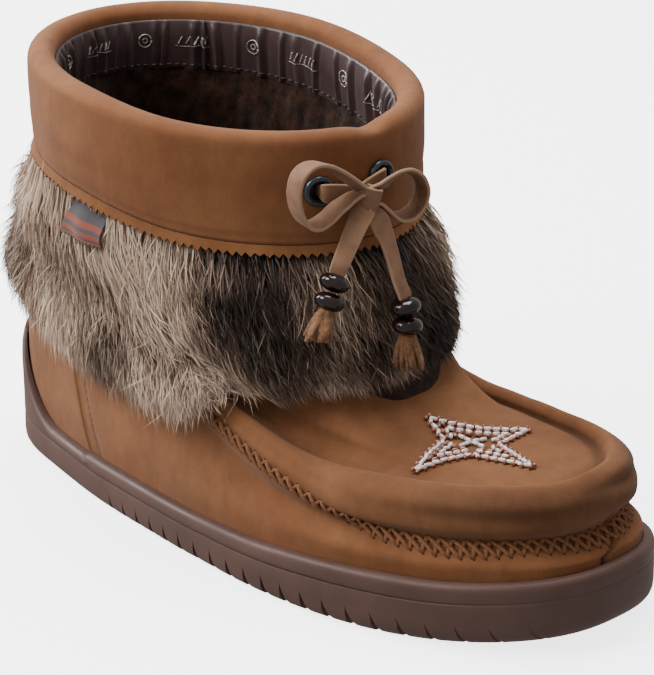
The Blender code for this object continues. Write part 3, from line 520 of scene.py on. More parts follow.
def between(rings, row):
    """The ring at any row, on a smooth curve through the rows beside it."""
    low = min(int(row), len(rings) - 2)
    u = row - low
    before, start, end, after = (rings[min(max(low + step, 0), len(rings) - 1)] for step in (-1, 0, 1, 2))
    bend = (2.0 * before - 5.0 * start + 4.0 * end - after) * u * u
    return start + ((end - before) * u + bend + (3.0 * (start - end) + after - before) * u**3) / 2.0


ROWS = np.concatenate([np.arange(0.0, 11.0, 0.1), np.arange(11.0, 16.01, 0.2)])


def make_grid():
    rings = make_rings()
    points = np.array([between(rings, row) for row in ROWS])
    around = np.roll(points, -1, axis=1) - np.roll(points, 1, axis=1)
    up = np.gradient(points, axis=0)
    outward = np.cross(up, around)
    outward[0, :, 2] = 0.0
    outward = unit(outward)
    step = 1.0 - ease(from_heel(FINE_COLUMNS) - COUNTER_COLUMNS)
    rise = COUNTER_RISE * step[None] * ease(COUNTER_TOP + 1.0 - ROWS)[:, None]
    return points + outward * rise[..., None], outward


GRID, OUTWARD = make_grid()


def bilinear(field, level, columns):
    """Reads a field of rings between its rows and its fine columns."""
    low = np.clip(level.astype(int), 0, len(field) - 2)
    up = (level - low)[..., None]
    fine = np.asarray(columns, float) * FINE
    left = np.floor(fine).astype(int) % STEPS
    right = (left + 1) % STEPS
    side = (fine - np.floor(fine))[..., None]
    lower = field[low, left] * (1.0 - side) + field[low, right] * side
    upper = field[low + 1, left] * (1.0 - side) + field[low + 1, right] * side
    return lower * (1.0 - up) + upper * up


def skin(columns, rows, offset=0.0):
    """Points on the upper's outer surface, moved out by the offset. Columns and rows may be fractions."""
    columns, rows, offset = np.broadcast_arrays(columns, rows, offset)
    level = np.interp(rows, ROWS, np.arange(len(ROWS)))
    return bilinear(GRID, level, columns) + bilinear(OUTWARD, level, columns) * offset[..., None]


def direction(columns, rows):
    return unit(skin(columns, rows, 1.0) - skin(columns, rows))


def over_valley(columns, rows, offset=0.0):
    """As skin, but straight across the valley between the puff's crest and the plug."""
    share = np.clip((rows - CREST) / (PLUG - CREST), 0.0, 1.0)[..., None]
    straight = skin(columns, CREST, offset) * (1.0 - share) + skin(columns, PLUG, offset) * share
    return np.where((share > 0.0) & (share < 1.0), straight, skin(columns, rows, offset))


def row_at_drop(columns, from_row, drop):
    """Rows at which columns lie a height below a row."""
    columns = np.atleast_1d(np.asarray(columns, float))
    target = skin(columns, from_row)[:, 2] - drop
    count = int(np.searchsorted(ROWS, from_row)) + 1
    rows = ROWS[max(count - 90, 0) : count]
    heights = skin(columns[:, None], rows[None])[..., 2]
    return np.array([np.interp(z, line, rows) for z, line in zip(target, heights)])


def column_toward(degrees):
    """Fractional column at an angle from the toe in plan, as seen from the middle of the shaft."""
    rim = GRID[-1]
    middle = (rim.min(axis=0) + rim.max(axis=0)) / 2.0
    bearing = np.degrees(np.arctan2(rim[:, 1] - middle[1], rim[:, 0] - middle[0])) - degrees
    bearing = (bearing + 180.0) % 360.0 - 180.0
    after = np.roll(bearing, -1)
    crossing = np.flatnonzero((bearing > 0.0) & (after <= 0.0) & (bearing - after < 90.0))[0]
    return (crossing + bearing[crossing] / (bearing[crossing] - after[crossing])) / FINE


def shaft_frame(place, offset):
    """Point over the upper at a bearing and height, with the directions to its left, up and out."""
    column = column_toward(place[0])
    rows = ROWS[ROWS >= 8.0]
    row = float(np.interp(place[1], skin(column, rows)[:, 2], rows))
    out = unit(direction(column, row) * (1.0, 1.0, 0.0))
    up = np.array([0.0, 0.0, 1.0])
    return skin(column, row, offset), np.cross(out, up), up, out


def spaced_columns(row, pitch, first, last):
    """Columns a pitch apart along a row."""
    fine = np.linspace(first, last, 600)
    line = skin(fine, row if np.ndim(row) else np.full(600, float(row)))
    length = np.concatenate([[0.0], np.cumsum(np.linalg.norm(np.diff(line, axis=0), axis=1))])
    count = max(int(length[-1] / pitch), 1)
    return np.interp(np.linspace(0.0, length[-1], count + 1), length, fine)


# Smooth noise, the same each run


def waves(points, scale, seed, octaves=3):
    """Soft noise at points, about -1 to 1, with features of the given size in metres."""
    source = np.random.default_rng(seed)
    total = np.zeros(points.shape[:-1])
    weight = 0.0
    for octave in range(octaves):
        for _ in range(5):
            way = source.normal(size=3)
            way *= 2.0**octave * 2.2 / (scale * np.linalg.norm(way))
            total += np.sin(points @ way + source.uniform(0.0, 2.0 * math.pi)) * 0.6**octave
        weight += 2.2 * 0.6**octave
    return total / weight


# Mesh building


def build(name, points, faces, made_of, slot, sharp=None):
    """A smooth mesh object that rides on the shoe. Edges steeper than the angle sharp stay sharp."""
    points = np.asarray(points, np.float32).reshape(-1, 3)
    faces = faces if isinstance(faces, list) else [faces]
    faces = [np.asarray(group, np.int32) for group in faces if len(group)]
    mesh = bpy.data.meshes.new(name)
    mesh.vertices.add(len(points))
    mesh.vertices.foreach_set("co", points.ravel())
    loops = np.concatenate([group.ravel() for group in faces])
    sizes = np.concatenate([np.full(len(group), group.shape[1]) for group in faces])
    mesh.loops.add(len(loops))
    mesh.loops.foreach_set("vertex_index", loops)
    mesh.polygons.add(len(sizes))
    mesh.polygons.foreach_set("loop_start", np.concatenate([[0], np.cumsum(sizes)[:-1]]).astype(np.int32))
    mesh.update(calc_edges=True)
    mesh.validate()
    mesh.materials.append(made_of)
    mesh.shade_smooth()
    if sharp:
        mesh.set_sharp_from_angle(angle=math.radians(sharp))
    piece = bpy.data.objects.new(name, mesh)
    bpy.context.collection.objects.link(piece)
    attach(piece, BODY)
    return piece


def grid_faces(rows, count, closed_rows=False, closed_round=True):
    low = np.arange(rows if closed_rows else rows - 1)
    high = (low + 1) % rows
    c = np.arange(count if closed_round else count - 1)
    d = (c + 1) % count
    a = low[:, None] * count
    b = high[:, None] * count
    return np.stack([a + c, a + d, b + d, b + c], axis=2).reshape(-1, 4)


def shell(name, rings, made_of, slot, turned_over=False, sharp=None):
    """A closed skin of rings, joined from the last one back to the first."""
    rings = np.array(rings)
    faces = grid_faces(rings.shape[0], rings.shape[1], True)
    return build(name, rings, faces[:, ::-1] if turned_over else faces, made_of, slot, sharp)


def tubes(paths, radius, sides=6, flat=1.0):
    """Round or flattened tubes along many paths of the same number of points, joined in one mesh."""
    paths = np.asarray(paths, float)
    count, length, _ = paths.shape
    along = unit(np.gradient(paths, axis=1))
    side = unit(np.cross(along, (0.13, 0.21, 0.97)))
    other = np.cross(side, along)
    turn = np.arange(sides) * 2.0 * math.pi / sides
    wide = np.broadcast_to(radius, (count, length))[..., None, None]
    ring = side[:, :, None] * np.cos(turn)[:, None] + other[:, :, None] * np.sin(turn)[:, None] * flat
    points = paths[:, :, None] + ring * wide
    start = np.arange(count)[:, None, None] * length * sides
    quads = (grid_faces(length, sides)[:, ::-1] + start).reshape(-1, 4)
    cap = np.arange(sides)
    caps = np.concatenate([(cap + start[:, 0]), (cap[::-1] + start[:, 0] + (length - 1) * sides)])
    return points.reshape(-1, 3), [quads, caps]


def join(parts):
    """Joins (points, face groups) pairs."""
    points, merged, start = [], {}, 0
    for some, groups in parts:
        points.append(some.reshape(-1, 3))
        for group in groups:
            merged.setdefault(group.shape[1], []).append(group + start)
        start += len(points[-1])
    return np.concatenate(points), [np.concatenate(groups) for groups in merged.values()]


def smooth_path(points, steps):
    points = np.asarray(points, float)
    ends = np.concatenate([[2.0 * points[0] - points[1]], points, [2.0 * points[-1] - points[-2]]])
    places = np.linspace(1.0, len(points), (len(points) - 1) * steps + 1)
    return np.array([between(ends, place) for place in places])


def turned(centre, axis, profile, count):
    """Rings of a turned shape from pairs of distance along the axis and radius."""
    axis = unit(np.asarray(axis, float))
    side = unit(np.cross(axis, (0.0, 0.0, 1.0) if abs(axis[2]) < 0.9 else (1.0, 0.0, 0.0)))
    other = np.cross(axis, side)
    turn = np.linspace(0.0, 2.0 * math.pi, count, endpoint=False)
    spoke = side * np.cos(turn)[:, None] + other * np.sin(turn)[:, None]
    return np.array([centre + axis * along + spoke * radius for along, radius in profile])


# Materials


class Shader:
    """A Principled material with short calls for the nodes that feed it."""

    def __init__(self, name, colour, roughness, **values):
        self.material = bpy.data.materials.new(name)
        self.material.use_nodes = True
        self.nodes = self.material.node_tree.nodes
        self.links = self.material.node_tree.links
        self.base = self.nodes["Principled BSDF"]
        self.base.inputs["Base Color"].default_value = (*colour, 1.0)
        self.base.inputs["Roughness"].default_value = roughness
        for socket, value in values.items():
            self.base.inputs[socket.replace("_", " ")].default_value = value
        self.place = self.nodes.new("ShaderNodeTexCoord").outputs["Object"]

    def noise(self, scale, detail=4.0, roughness=0.55, stretch=None, distortion=0.0):
        node = self.nodes.new("ShaderNodeTexNoise")
        node.inputs["Scale"].default_value = scale
        node.inputs["Detail"].default_value = detail
        node.inputs["Roughness"].default_value = roughness
        node.inputs["Distortion"].default_value = distortion
        place = self.place
        if stretch:
            mapping = self.nodes.new("ShaderNodeMapping")
            mapping.inputs["Scale"].default_value = stretch
            self.links.new(place, mapping.inputs["Vector"])
            place = mapping.outputs["Vector"]
        self.links.new(place, node.inputs["Vector"])
        return node.outputs["Fac"]

    def ramp(self, fac, *stops):
        node = self.nodes.new("ShaderNodeValToRGB")
        steps = node.color_ramp.elements
        while len(steps) < len(stops):
            steps.new(0.5)
        for step, (place, colour) in zip(steps, stops):
            step.position = place
            step.color = (*colour, 1.0) if np.ndim(colour) else (colour, colour, colour, 1.0)
        self.links.new(fac, node.inputs["Fac"])
        return node.outputs["Color"]

    def mix(self, fac, first, second, blend="MIX"):
        node = self.nodes.new("ShaderNodeMix")
        node.data_type = "RGBA"
        node.blend_type = blend
        sockets = (node.inputs["Factor"], node.inputs["A"], node.inputs["B"])
        for socket, value in zip(sockets, (fac, first, second)):
            if hasattr(value, "is_linked"):
                self.links.new(value, socket)
            else:
                socket.default_value = value if np.ndim(value) == 0 else (*value, 1.0)
        return node.outputs["Result"]

    def colour(self, output):
        self.links.new(output, self.base.inputs["Base Color"])

    def rough(self, output):
        self.links.new(output, self.base.inputs["Roughness"])

    def bump(self, height, distance, strength=1.0, before=None):
        node = self.nodes.new("ShaderNodeBump")
        node.inputs["Distance"].default_value = distance
        node.inputs["Strength"].default_value = strength
        self.links.new(height, node.inputs["Height"])
        if before:
            self.links.new(before, node.inputs["Normal"])
        self.links.new(node.outputs["Normal"], self.base.inputs["Normal"])
        return node.outputs["Normal"]
    def stored(self, name, output="Color"):
        """What the mesh stores under a name."""
        node = self.nodes.new("ShaderNodeAttribute")
        node.attribute_name = name
        return node.outputs[output]


def suede(name, dark, mid, light, shade=False):
    """Napped hide: cloudy colour, brushed streaks and a fine grain."""
    made = Shader(name, mid, 0.9, Sheen_Weight=0.06, Sheen_Roughness=0.5, Specular_IOR_Level=0.2)
    clouds = made.ramp(made.noise(30.0, 5.0, 0.6), (0.30, dark), (0.50, mid), (0.72, light))
    brushed = made.ramp(made.noise(150.0, 6.0, 0.65, (1.0, 1.0, 0.35), 0.6), (0.35, 0.86), (0.65, 1.08))
    colour = made.mix(0.75, clouds, brushed, "MULTIPLY")
    fine = made.ramp(made.noise(2400.0, 3.0), (0.3, 0.86), (0.7, 1.10))
    colour = made.mix(0.6, colour, fine, "MULTIPLY")
    if shade:
        colour = made.mix(1.0, colour, made.stored("shade"), "MULTIPLY")
    made.colour(colour)
    soft = made.bump(made.noise(260.0, 4.0), 0.00035, 0.5)
    made.bump(made.noise(2600.0, 4.0, 0.7), 0.00012, 0.7, soft)
    return made.material


def clouded(name, colour, roughness, clouds, stops, grain=None, **values):
    """A material whose colour follows soft noise from dark to light, with a fine grain as bump."""
    made = Shader(name, colour, roughness, **values)
    made.colour(made.ramp(made.noise(*clouds), *stops))
    if grain:
        scales, depth, strength = grain
        made.bump(made.noise(*scales), depth, strength)
    return made


def rubber_material():
    stops = ((0.35, (0.078, 0.041, 0.031)), (0.7, (0.102, 0.054, 0.042)))
    grain = ((3200.0, 3.0), 0.00006, 0.6)
    base = (0.089, 0.047, 0.036)
    made = clouded("moulded rubber", base, 0.55, (45.0, 4.0), stops, grain, Specular_IOR_Level=0.30)
    made.rough(made.ramp(made.noise(80.0, 4.0), (0.35, 0.46), (0.7, 0.60)))
    return made.material


def satin_material():
    stops = ((0.3, (0.038, 0.019, 0.019)), (0.7, (0.062, 0.033, 0.031)))
    grain = ((1500.0, 2.0, 0.5, (1.0, 1.0, 0.15)), 0.00008, 0.6)
    sheen = {"Sheen_Weight": 0.12, "Specular_IOR_Level": 0.5}
    return clouded("lining satin", (0.062, 0.032, 0.032), 0.40, (120.0, 4.0), stops, grain, **sheen).material


def fleece_material():
    stops = ((0.34, (0.005, 0.002, 0.001)), (0.68, (0.062, 0.023, 0.011)))
    grain = ((700.0, 6.0, 0.75), 0.0012, 0.9)
    sheen = {"Sheen_Weight": 0.12, "Specular_IOR_Level": 0.1}
    base = (0.04, 0.014, 0.007)
    return clouded("lining fleece", base, 0.95, (210.0, 6.0, 0.7), stops, grain, **sheen).material


def hair_material():
    made = Shader("fur hair", (0.3, 0.25, 0.2), 0.50, Specular_IOR_Level=0.25)
    made.colour(made.stored("hair"))
    return made.material


def undercoat_material():
    made = Shader("fur undercoat", (0.05, 0.04, 0.035), 0.95)
    streaks = made.noise(420.0, 5.0, 0.7, (1.0, 1.0, 0.12))
    lit = made.ramp(streaks, (0.35, 0.30), (0.7, 1.5))
    made.colour(made.mix(1.0, made.stored("hair"), lit, "MULTIPLY"))
    made.bump(streaks, 0.001, 0.8)
    return made.material


def thong_material():
    made = Shader("thong suede", (0.20, 0.105, 0.058), 0.8, Sheen_Weight=0.06, Specular_IOR_Level=0.3)
    dark, light, worn = (0.150, 0.070, 0.036), (0.235, 0.125, 0.070), (0.33, 0.20, 0.12)
    clouds = made.ramp(made.noise(140.0, 5.0), (0.3, dark), (0.7, light))
    made.colour(made.mix(made.stored("edge"), clouds, worn))
    made.bump(made.noise(2200.0, 4.0, 0.7), 0.00012, 0.6)
    return made.material


def hide_material():
    stops = ((0.3, (0.060, 0.022, 0.008)), (0.7, (0.30, 0.135, 0.052)))
    grain = ((1400.0, 5.0, 0.7), 0.0004, 0.9)
    base = (0.2, 0.09, 0.035)
    return clouded("tuft hide", base, 0.9, (500.0, 6.0, 0.7), stops, grain, Sheen_Weight=0.1).material


def bead_material():
    stops = ((0.4, (0.005, 0.002, 0.002)), (0.8, (0.030, 0.007, 0.006)))
    gloss = {"Coat_Weight": 0.25, "Specular_IOR_Level": 0.35}
    return clouded("polished bead", (0.008, 0.003, 0.003), 0.12, (320.0, 4.0), stops, **gloss).material


def enamel_material():
    made = Shader("eyelet enamel", (0.035, 0.045, 0.055), 0.28, Metallic=0.55, Coat_Weight=0.4)
    made.rough(made.ramp(made.noise(900.0, 4.0), (0.4, 0.22), (0.75, 0.42)))
    return made.material


def glass_material(name, colour, dark):
    gloss = {"Coat_Weight": 0.8, "Coat_Roughness": 0.08, "Specular_IOR_Level": 0.6}
    return clouded(name, colour, 0.14, (700.0, 2.0), ((0.35, dark), (0.6, colour)), **gloss).material


def thread_material(name, dark, light):
    grain = ((3000.0, 2.0), 0.0001, 0.6)
    sheen = {"Sheen_Weight": 0.05, "Specular_IOR_Level": 0.25}
    return clouded(name, light, 0.8, (900.0, 3.0), ((0.3, dark), (0.7, light)), grain, **sheen).material


def silver_material():
    stops = ((0.35, (0.16, 0.14, 0.13)), (0.6, (0.55, 0.50, 0.45)))
    return clouded("silver print", (0.42, 0.38, 0.34), 0.45, (900.0, 4.0), stops, Metallic=0.2).material


def label_material():
    made = Shader("label weave", (0.10, 0.10, 0.11), 0.85, Sheen_Weight=0.2)
    slate, rust = (0.042, 0.036, 0.040), (0.20, 0.036, 0.014)
    edges = ((0.0, 0.36), (0.38, 0.50), (0.52, 0.60), (0.62, 0.74), (0.76, 0.83), (0.85, 0.94), (0.96,))
    stops = [(place, (slate, rust)[k % 2]) for k, band in enumerate(edges) for place in band]
    bands = made.ramp(made.stored("band", "Fac"), *stops)
    weave = made.ramp(made.noise(2600.0, 2.0), (0.3, 0.6), (0.7, 1.2))
    made.colour(made.mix(0.7, bands, weave, "MULTIPLY"))
    made.bump(made.noise(2800.0, 2.0), 0.0001, 0.9)
    return made.material


# Pieces


def set_colours(piece, name, colours):
    layer = piece.data.color_attributes.new(name, "FLOAT_COLOR", "POINT")
    rgba = np.concatenate([colours, np.ones((len(colours), 1))], axis=1).astype(np.float32)
    layer.data.foreach_set("color", rgba.ravel())


def stitch_row(columns):
    return table(STITCH_LINE, from_toe(columns))


def toe_seam(rows):
    """Column of the short upright seam at the toe, at a row."""
    return TOE + TOE_SEAM_SHIFT - np.maximum(rows - 1.0, 0.0) * TOE_SEAM_LEAN


def groove(distance, width):
    return np.exp(-((distance / width) ** 2))


def upper_relief(columns, rows):
    """Height of creases, seams and swellings over the upper's plain surface."""
    points = skin(columns, rows)
    toward = from_toe(columns)
    relief = (0.00028 * waves(points, 0.030, 3) + 0.00010 * waves(points, 0.008, 4)) * ease(rows - 1.0)
    away = rows - stitch_row(columns)
    band = ease((BAND_REACH - toward) / 1.5)
    relief += (0.0004 * groove(away - 0.95, 0.4) - 0.0003 * groove(away, 0.42)) * band
    below = rows - VALLEY_ROW
    valley = ease((VALLEY_REACH - toward) / 2.0)
    relief += (0.0005 * groove(below + 0.5, 0.35) - 0.0012 * groove(below, 0.16)) * valley
    seam = columns - toe_seam(rows)
    under = ease((TOE_SEAM_TOP - rows) / 0.3)
    relief += (0.0003 * groove(np.abs(seam) - 0.22, 0.12) - 0.0010 * groove(seam, 0.13)) * under
    for stitch in COUNTER_SEAMS:
        relief -= 0.0006 * groove(from_heel(columns) - stitch, 0.06) * ease((7.0 - rows) / 0.5)
    for centre, row, tilt, wide, deep in CREASES:
        across = (rows - row) - tilt * (columns - centre)
        along = groove(columns - centre, wide)
        relief -= deep * groove(across, 0.35) * along
        relief += deep * 0.6 * groove(across - 0.75, 0.45) * along
    return relief


def make_upper(leather, fleece):
    """The hollow suede upper, with painted shade darkening its seams, its stitched band, its foot toward the
    sole, the valley under the fur and the puff, and a painted highlight along the puff's crest.
    """
    columns, level = np.broadcast_arrays(FINE_COLUMNS, ROWS[:, None])
    points = skin(columns, level, upper_relief(columns, level))
    inner = skin(FINE_COLUMNS, np.arange(RIM, -1.0, -1.0)[:, None], -WALL)
    rings = np.concatenate([points, inner])
    piece = shell("upper_suede", rings, leather, "suede")
    piece.data.materials.append(fleece)
    lined = np.zeros(len(piece.data.polygons), np.int32)
    lined[len(ROWS) * STEPS : -STEPS] = 1
    piece.data.polygons.foreach_set("material_index", lined)

    toward = from_toe(columns)
    # Painted shade in the stitched band below the puff.
    band = groove(level - stitch_row(columns), 0.75) * ease((BAND_REACH - toward) / 1.5)
    # Painted shade: darker toward the sole.
    low = ease((level - 0.8) / 1.6)
    # Painted shade in the valley between the puff's crest and the plug, under the fur.
    crease = groove(level - VALLEY_ROW, 0.22) * ease((VALLEY_REACH - toward) / 2.0)
    # Painted highlight along the inner edge of the puff's crest.
    crest_highlight = groove(level - 7.3, 0.5) * ease((VALLEY_REACH - toward) / 3.0)
    # Painted shade on the puff.
    puff = groove(level - 5.2, 1.6) * ease((10.0 - toward) / 5.0)
    # Painted shade in the grooves of the toe seam and the counter's seams.
    lines = 0.6 * groove(columns - toe_seam(level), 0.10) * ease((3.3 - level) / 0.3)
    for stitch in COUNTER_SEAMS:
        lines += 0.4 * groove(from_heel(columns) - stitch, 0.05)
    tint = 0.78 + 0.22 * low - 0.08 * band - 0.55 * crease + 0.06 * crest_highlight - 0.46 * puff - lines
    shade = np.full((len(rings), STEPS, 1), 0.5)
    shade[: len(ROWS), :, 0] = tint * (1.0 + 0.06 * waves(points, 0.022, 9))
    warm = np.zeros((len(rings), STEPS, 1))
    warm[: len(ROWS), :, 0] = ease((3.4 - level) / 2.4) * (0.6 + 0.4 * waves(points, 0.018, 12))
    colours = shade * (1.0 + warm * (0.22, 0.10, -0.08))
    set_colours(piece, "shade", colours.reshape(-1, 3))
    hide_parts("upper")


def herringbone():
    """Columns of the herringbone's stitches round the toe, and the row of its centre at each."""
    columns = spaced_columns(2.8, STITCH_PITCH, TOE - STITCH_REACH, TOE + STITCH_REACH)
    return columns, stitch_row(columns)


def make_stitches(thread):
    """Herringbone threads round the toe, and two rows of small stitches on each side of the counter."""
    columns, centre = herringbone()
    paths = []
    share = np.linspace(0.0, 1.0, 7)
    swell = np.sin(math.pi * share)
    arch = STITCH_ARCH * (swell**0.6 - 0.5)
    for k in range(len(columns) - 1):
        for sign, lift in ((1.0, 0.0), (-1.0, 0.0005)):
            way = columns[k] + (columns[k + 1] - columns[k]) * share
            middle = centre[k] + (centre[k + 1] - centre[k]) * share
            row = middle + sign * STITCH_HALF * (1.0 - 2.0 * share)
            paths.append(skin(way, row, upper_relief(way, row) + arch + lift * swell))
    small = []
    arc = np.array([-0.0001, 0.0002, 0.00026, 0.0002, -0.0001])
    for stitch in COUNTER_SEAMS:
        for column in (stitch, COLUMNS - stitch):
            for row in np.arange(1.25, TOE_SEAM_TOP, 0.13):
                place = (np.full(5, column), row + np.linspace(0.0, 0.085, 5))
                small.append(skin(*place, arc + upper_relief(*place)))
    parts = [tubes(paths, STITCH_RADIUS, 8, 0.75), tubes(small, 0.00022, 5)]
    build("upper_stitches", *join(parts), thread, "suede")


def make_holes(dark):
    """The awl's holes at both ends of each herringbone thread, as small dark studs in the hide: painted shade
    standing for the holes' depth.
    """
    profile = ((-0.0004, 0.00042), (0.00010, 0.00046), (0.00016, 0.00022))
    parts = []
    for column, centre in zip(*herringbone()):
        for row in (centre - HOLE_HALF, centre + HOLE_HALF):
            here = skin(column, row, upper_relief(column, row))
            rings = turned(here, direction(column, row), profile, 8)
            parts.append((rings, [grid_faces(3, 8), np.arange(16, 24)[None]]))
    build("awl_holes", *join(parts), dark, "suede")


def row_at(heights):
    """Rows of the foot at which the fine columns reach their heights."""
    limit = int(np.searchsorted(ROWS, CREST)) + 1
    return np.array([np.interp(z, GRID[:limit, c, 2], ROWS[:limit]) for c, z in enumerate(heights)])


def make_sole(rubber):
    """The cup sole with the groove in its side, its heel cup and the cut tread."""
    angles = column_angles(0)
    toward_toe = ease((share_at(angles) - 0.70) / 0.30)
    rings = []
    for height, inset in SOLE_SIDE:
        fade = 1.0 - toward_toe * 0.7 if SOLE_GROOVE[0] < height < SOLE_GROOVE[1] else 1.0
        plan = sole_outline(angles, inset * fade * LIP_WIDTH)
        low = ground(plan[:, 0])
        rings.append(np.column_stack([plan, low + height * (lip_height(plan[:, 0]) - low)]))
    cup = 1.0 - ease((degrees_from_heel(0) - CUP_ANGLES[0]) / (CUP_ANGLES[1] - CUP_ANGLES[0]))
    top = lip_height(GRID[0, :, 0]) + CUP_RISE * cup
    wall = LIP_WIDTH + (CUP_WALL - LIP_WIDTH) * cup
    for drop, share in ((1.6, 0.97), (0.9, 0.93), (0.35, 0.82), (0.0, 0.60), (0.0, 0.25)):
        rings.append(skin(FINE_COLUMNS, row_at(top - LIP_ROUND * drop), wall * share))
    for part in (1.0, 0.66, 0.33):
        rings.append(skin(FINE_COLUMNS, row_at(top) * part, FIT_GAP * (1.0 + cup)))
    rings.append(skin(FINE_COLUMNS, 0, FIT_GAP) - (0.0, 0.0, FIT_GAP))

    half = STEPS // 2
    c = np.arange(1, half - 1)
    strips = np.stack([c, c + 1, STEPS - c - 1, STEPS - c], axis=1)
    ends = np.array([[0, 1, STEPS - 1], [half - 1, half, half + 1]])
    last = (len(rings) - 1) * STEPS
    faces = [grid_faces(len(rings), STEPS), strips[:, ::-1], ends[:, ::-1], strips + last, ends + last]
    piece = build("cup_sole", rings, faces, rubber, "sole_rubber")
    cut_with(piece, *tread_cuts())
    piece.data.set_sharp_from_angle(angle=math.radians(38.0))
    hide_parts("outsole")


def tread_cuts():
    """Three-sided wedges from the centre rib to both edges, where they end as notches in the side."""
    first = SOLE_LENGTH * TREAD_START - HEEL_REACH
    final = SOLE_LENGTH * TREAD_END - HEEL_REACH
    reaches = (
        # half width, shift, depth, gap
        (CENTRE_RIB / 2.0, TREAD_SWEEP, TREAD_DEPTH, TREAD_GAP),
        (BALL_WIDTH * TREAD_REACH, 0.0, NOTCH_HEIGHT * NOTCH_DEEPER, TREAD_GAP * NOTCH_WIDER),
    )
    points, walls = [], []
    for number in range(int((final - first) / TREAD_PITCH) + 1):
        for sign in (-1.0, 1.0):
            start = len(points)
            for y, shift, depth, gap in reaches:
                x = first + number * TREAD_PITCH + shift
                points.append((x - gap / 2.0, sign * y, -TREAD_DEPTH))
                points.append((x + gap / 2.0, sign * y, -TREAD_DEPTH))
                points.append((x - NOTCH_LEAN, sign * y, float(ground(x)) + depth))
            made = [(start, start + 1, start + 2), (start + 3, start + 5, start + 4)]
            for a, b in ((0, 1), (1, 2), (2, 0)):
                made.append((start + a, start + a + 3, start + b + 3, start + b))
            walls += made if sign > 0.0 else [face[::-1] for face in made]
    return points, walls


def cut_with(piece, points, faces):
    """Subtracts a closed shape from a piece and keeps the result as its mesh."""
    mesh = bpy.data.meshes.new("cutter")
    mesh.from_pydata([tuple(p) for p in points], [], [tuple(int(i) for i in face) for face in faces])
    cutter = bpy.data.objects.new("cutter", mesh)
    bpy.context.collection.objects.link(cutter)
    cut = piece.modifiers.new("cut", "BOOLEAN")
    cut.operation = "DIFFERENCE"
    cut.object = cutter
    graph = bpy.context.evaluated_depsgraph_get()
    result = bpy.data.meshes.new_from_object(piece.evaluated_get(graph))
    piece.modifiers.clear()
    piece.data = result
    result.shade_smooth()
    bpy.data.objects.remove(cutter, do_unlink=True)


def collar_point(columns, rows, offset, rise=0.0):
    points = skin(columns, rows, offset)
    points[..., 2] += rise
    return points


def make_collar(leather):
    """The folded collar: a soft pad outside, rolled over the rim to the lining."""
    pad = FIT_GAP + COLLAR_PAD
    inside = -(WALL + FIT_GAP)
    lining = inside - COLLAR_LINING
    rings = []
    for row in np.linspace(SEAM, RIM, 26):
        share = (row - SEAM) / (RIM - SEAM)
        swell = 0.80 + 0.20 * math.sqrt(min(share / 0.12, 1.0))
        offset = np.full(STEPS, pad * swell)
        here = skin(FINE_COLUMNS, row, offset)
        offset += 0.00045 * waves(here, 0.035, 21) * ease(share / 0.2)
        offset -= 0.0006 * groove(share - 0.085, 0.025)
        for centre, place, tilt, wide, deep in COLLAR_CREASES:
            toward = beside(FINE_COLUMNS, centre)
            offset -= deep * groove(share - place - tilt * toward, 0.10) * groove(toward, wide)
        rings.append(collar_point(FINE_COLUMNS, row, offset, COLLAR_LIFT * share**2))
    bulge = 0.0005 * waves(GRID[-1], 0.045, 22)
    dip = 0.0022 * groove((FINE_COLUMNS - (TOE + 0.4)), 1.0)
    middle = (pad + lining) / 2.0
    radius = (pad - lining) / 2.0
    for turn in np.radians(np.arange(12.0, 180.0, 14.0)):
        offset = middle + radius * math.cos(turn) + bulge * math.sin(turn)
        rise = COLLAR_LIFT + COLLAR_ROLL * math.sin(turn) ** 0.8 - dip * math.sin(turn)
        rings.append(collar_point(FINE_COLUMNS, RIM, offset, rise))
    turn_in = row_at_drop(FINE_COLUMNS, RIM, 0.0030)
    rings += [skin(FINE_COLUMNS, turn_in, offset) for offset in (lining, inside)]
    rings += [collar_point(FINE_COLUMNS, RIM, offset, FIT_GAP) for offset in (inside, FIT_GAP)]
    rings += [skin(FINE_COLUMNS, row, FIT_GAP) for row in (SEAM + 1.0, SEAM)]
    piece = shell("folded_collar", rings, leather, "collar_suede")
    points = []
    faces = []
    radius = EYELET_HOLE / 2.0 + EYELET_WALL + FIT_GAP
    for place in (EYELET_LEFT, EYELET_RIGHT):
        centre, _, _, out = shaft_frame(place, 0.0)
        hole = turned(centre, out, ((FIT_GAP / 2.0, radius), (COLLAR_PAD * 2.0, radius)), 24)
        start = len(points)
        faces += [tuple(face + start) for face in grid_faces(2, 24)]
        faces += [tuple(np.arange(24)[::-1] + start), tuple(np.arange(24, 48) + start)]
        points += list(hole.reshape(-1, 3))
    cut_with(piece, points, faces)
    set_colours(piece, "shade", np.ones((len(piece.data.vertices), 3)))
    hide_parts("collar")


def lining_point(columns, drop, offset):
    """Points inside the collar, a distance below the rim."""
    rows = np.interp(drop, [0.0, FLEECE_DROP], [RIM, 12.6])
    points = skin(columns, np.broadcast_to(rows, np.shape(columns)), offset)
    points[..., 2] += COLLAR_LIFT * (1.0 - np.clip(drop / SATIN_DROP, 0.0, 1.0))
    return points


def satin_offset(columns, drop):
    """The gathered satin stands off the collar's inside in irregular pleats."""
    source = np.random.default_rng(31)
    base = -(WALL + FIT_GAP + COLLAR_LINING + SATIN_GAP)
    pleats = np.zeros(np.broadcast(columns, drop).shape)
    centre = 0.4
    while centre < COLUMNS:
        width = source.uniform(0.07, 0.16)
        deep = source.uniform(0.0006, 0.0017)
        lean = source.uniform(-14.0, 14.0)
        toward = beside(columns - lean * drop, centre)
        pleats = pleats + deep * groove(toward, width) - deep * 0.5 * groove(toward - width * 2.2, width)
        centre += source.uniform(0.55, 1.5)
    belly = 0.0010 * np.sin(math.pi * np.clip(drop / SATIN_DROP, 0.0, 1.0))
    return base - belly - pleats * ease(drop / 0.006) * ease((SATIN_DROP + 0.004 - drop) / 0.006)


def fleece_lumps(points):
    return 0.0009 * waves(points, 0.006, 41) + 0.0005 * waves(points, 0.0025, 42)


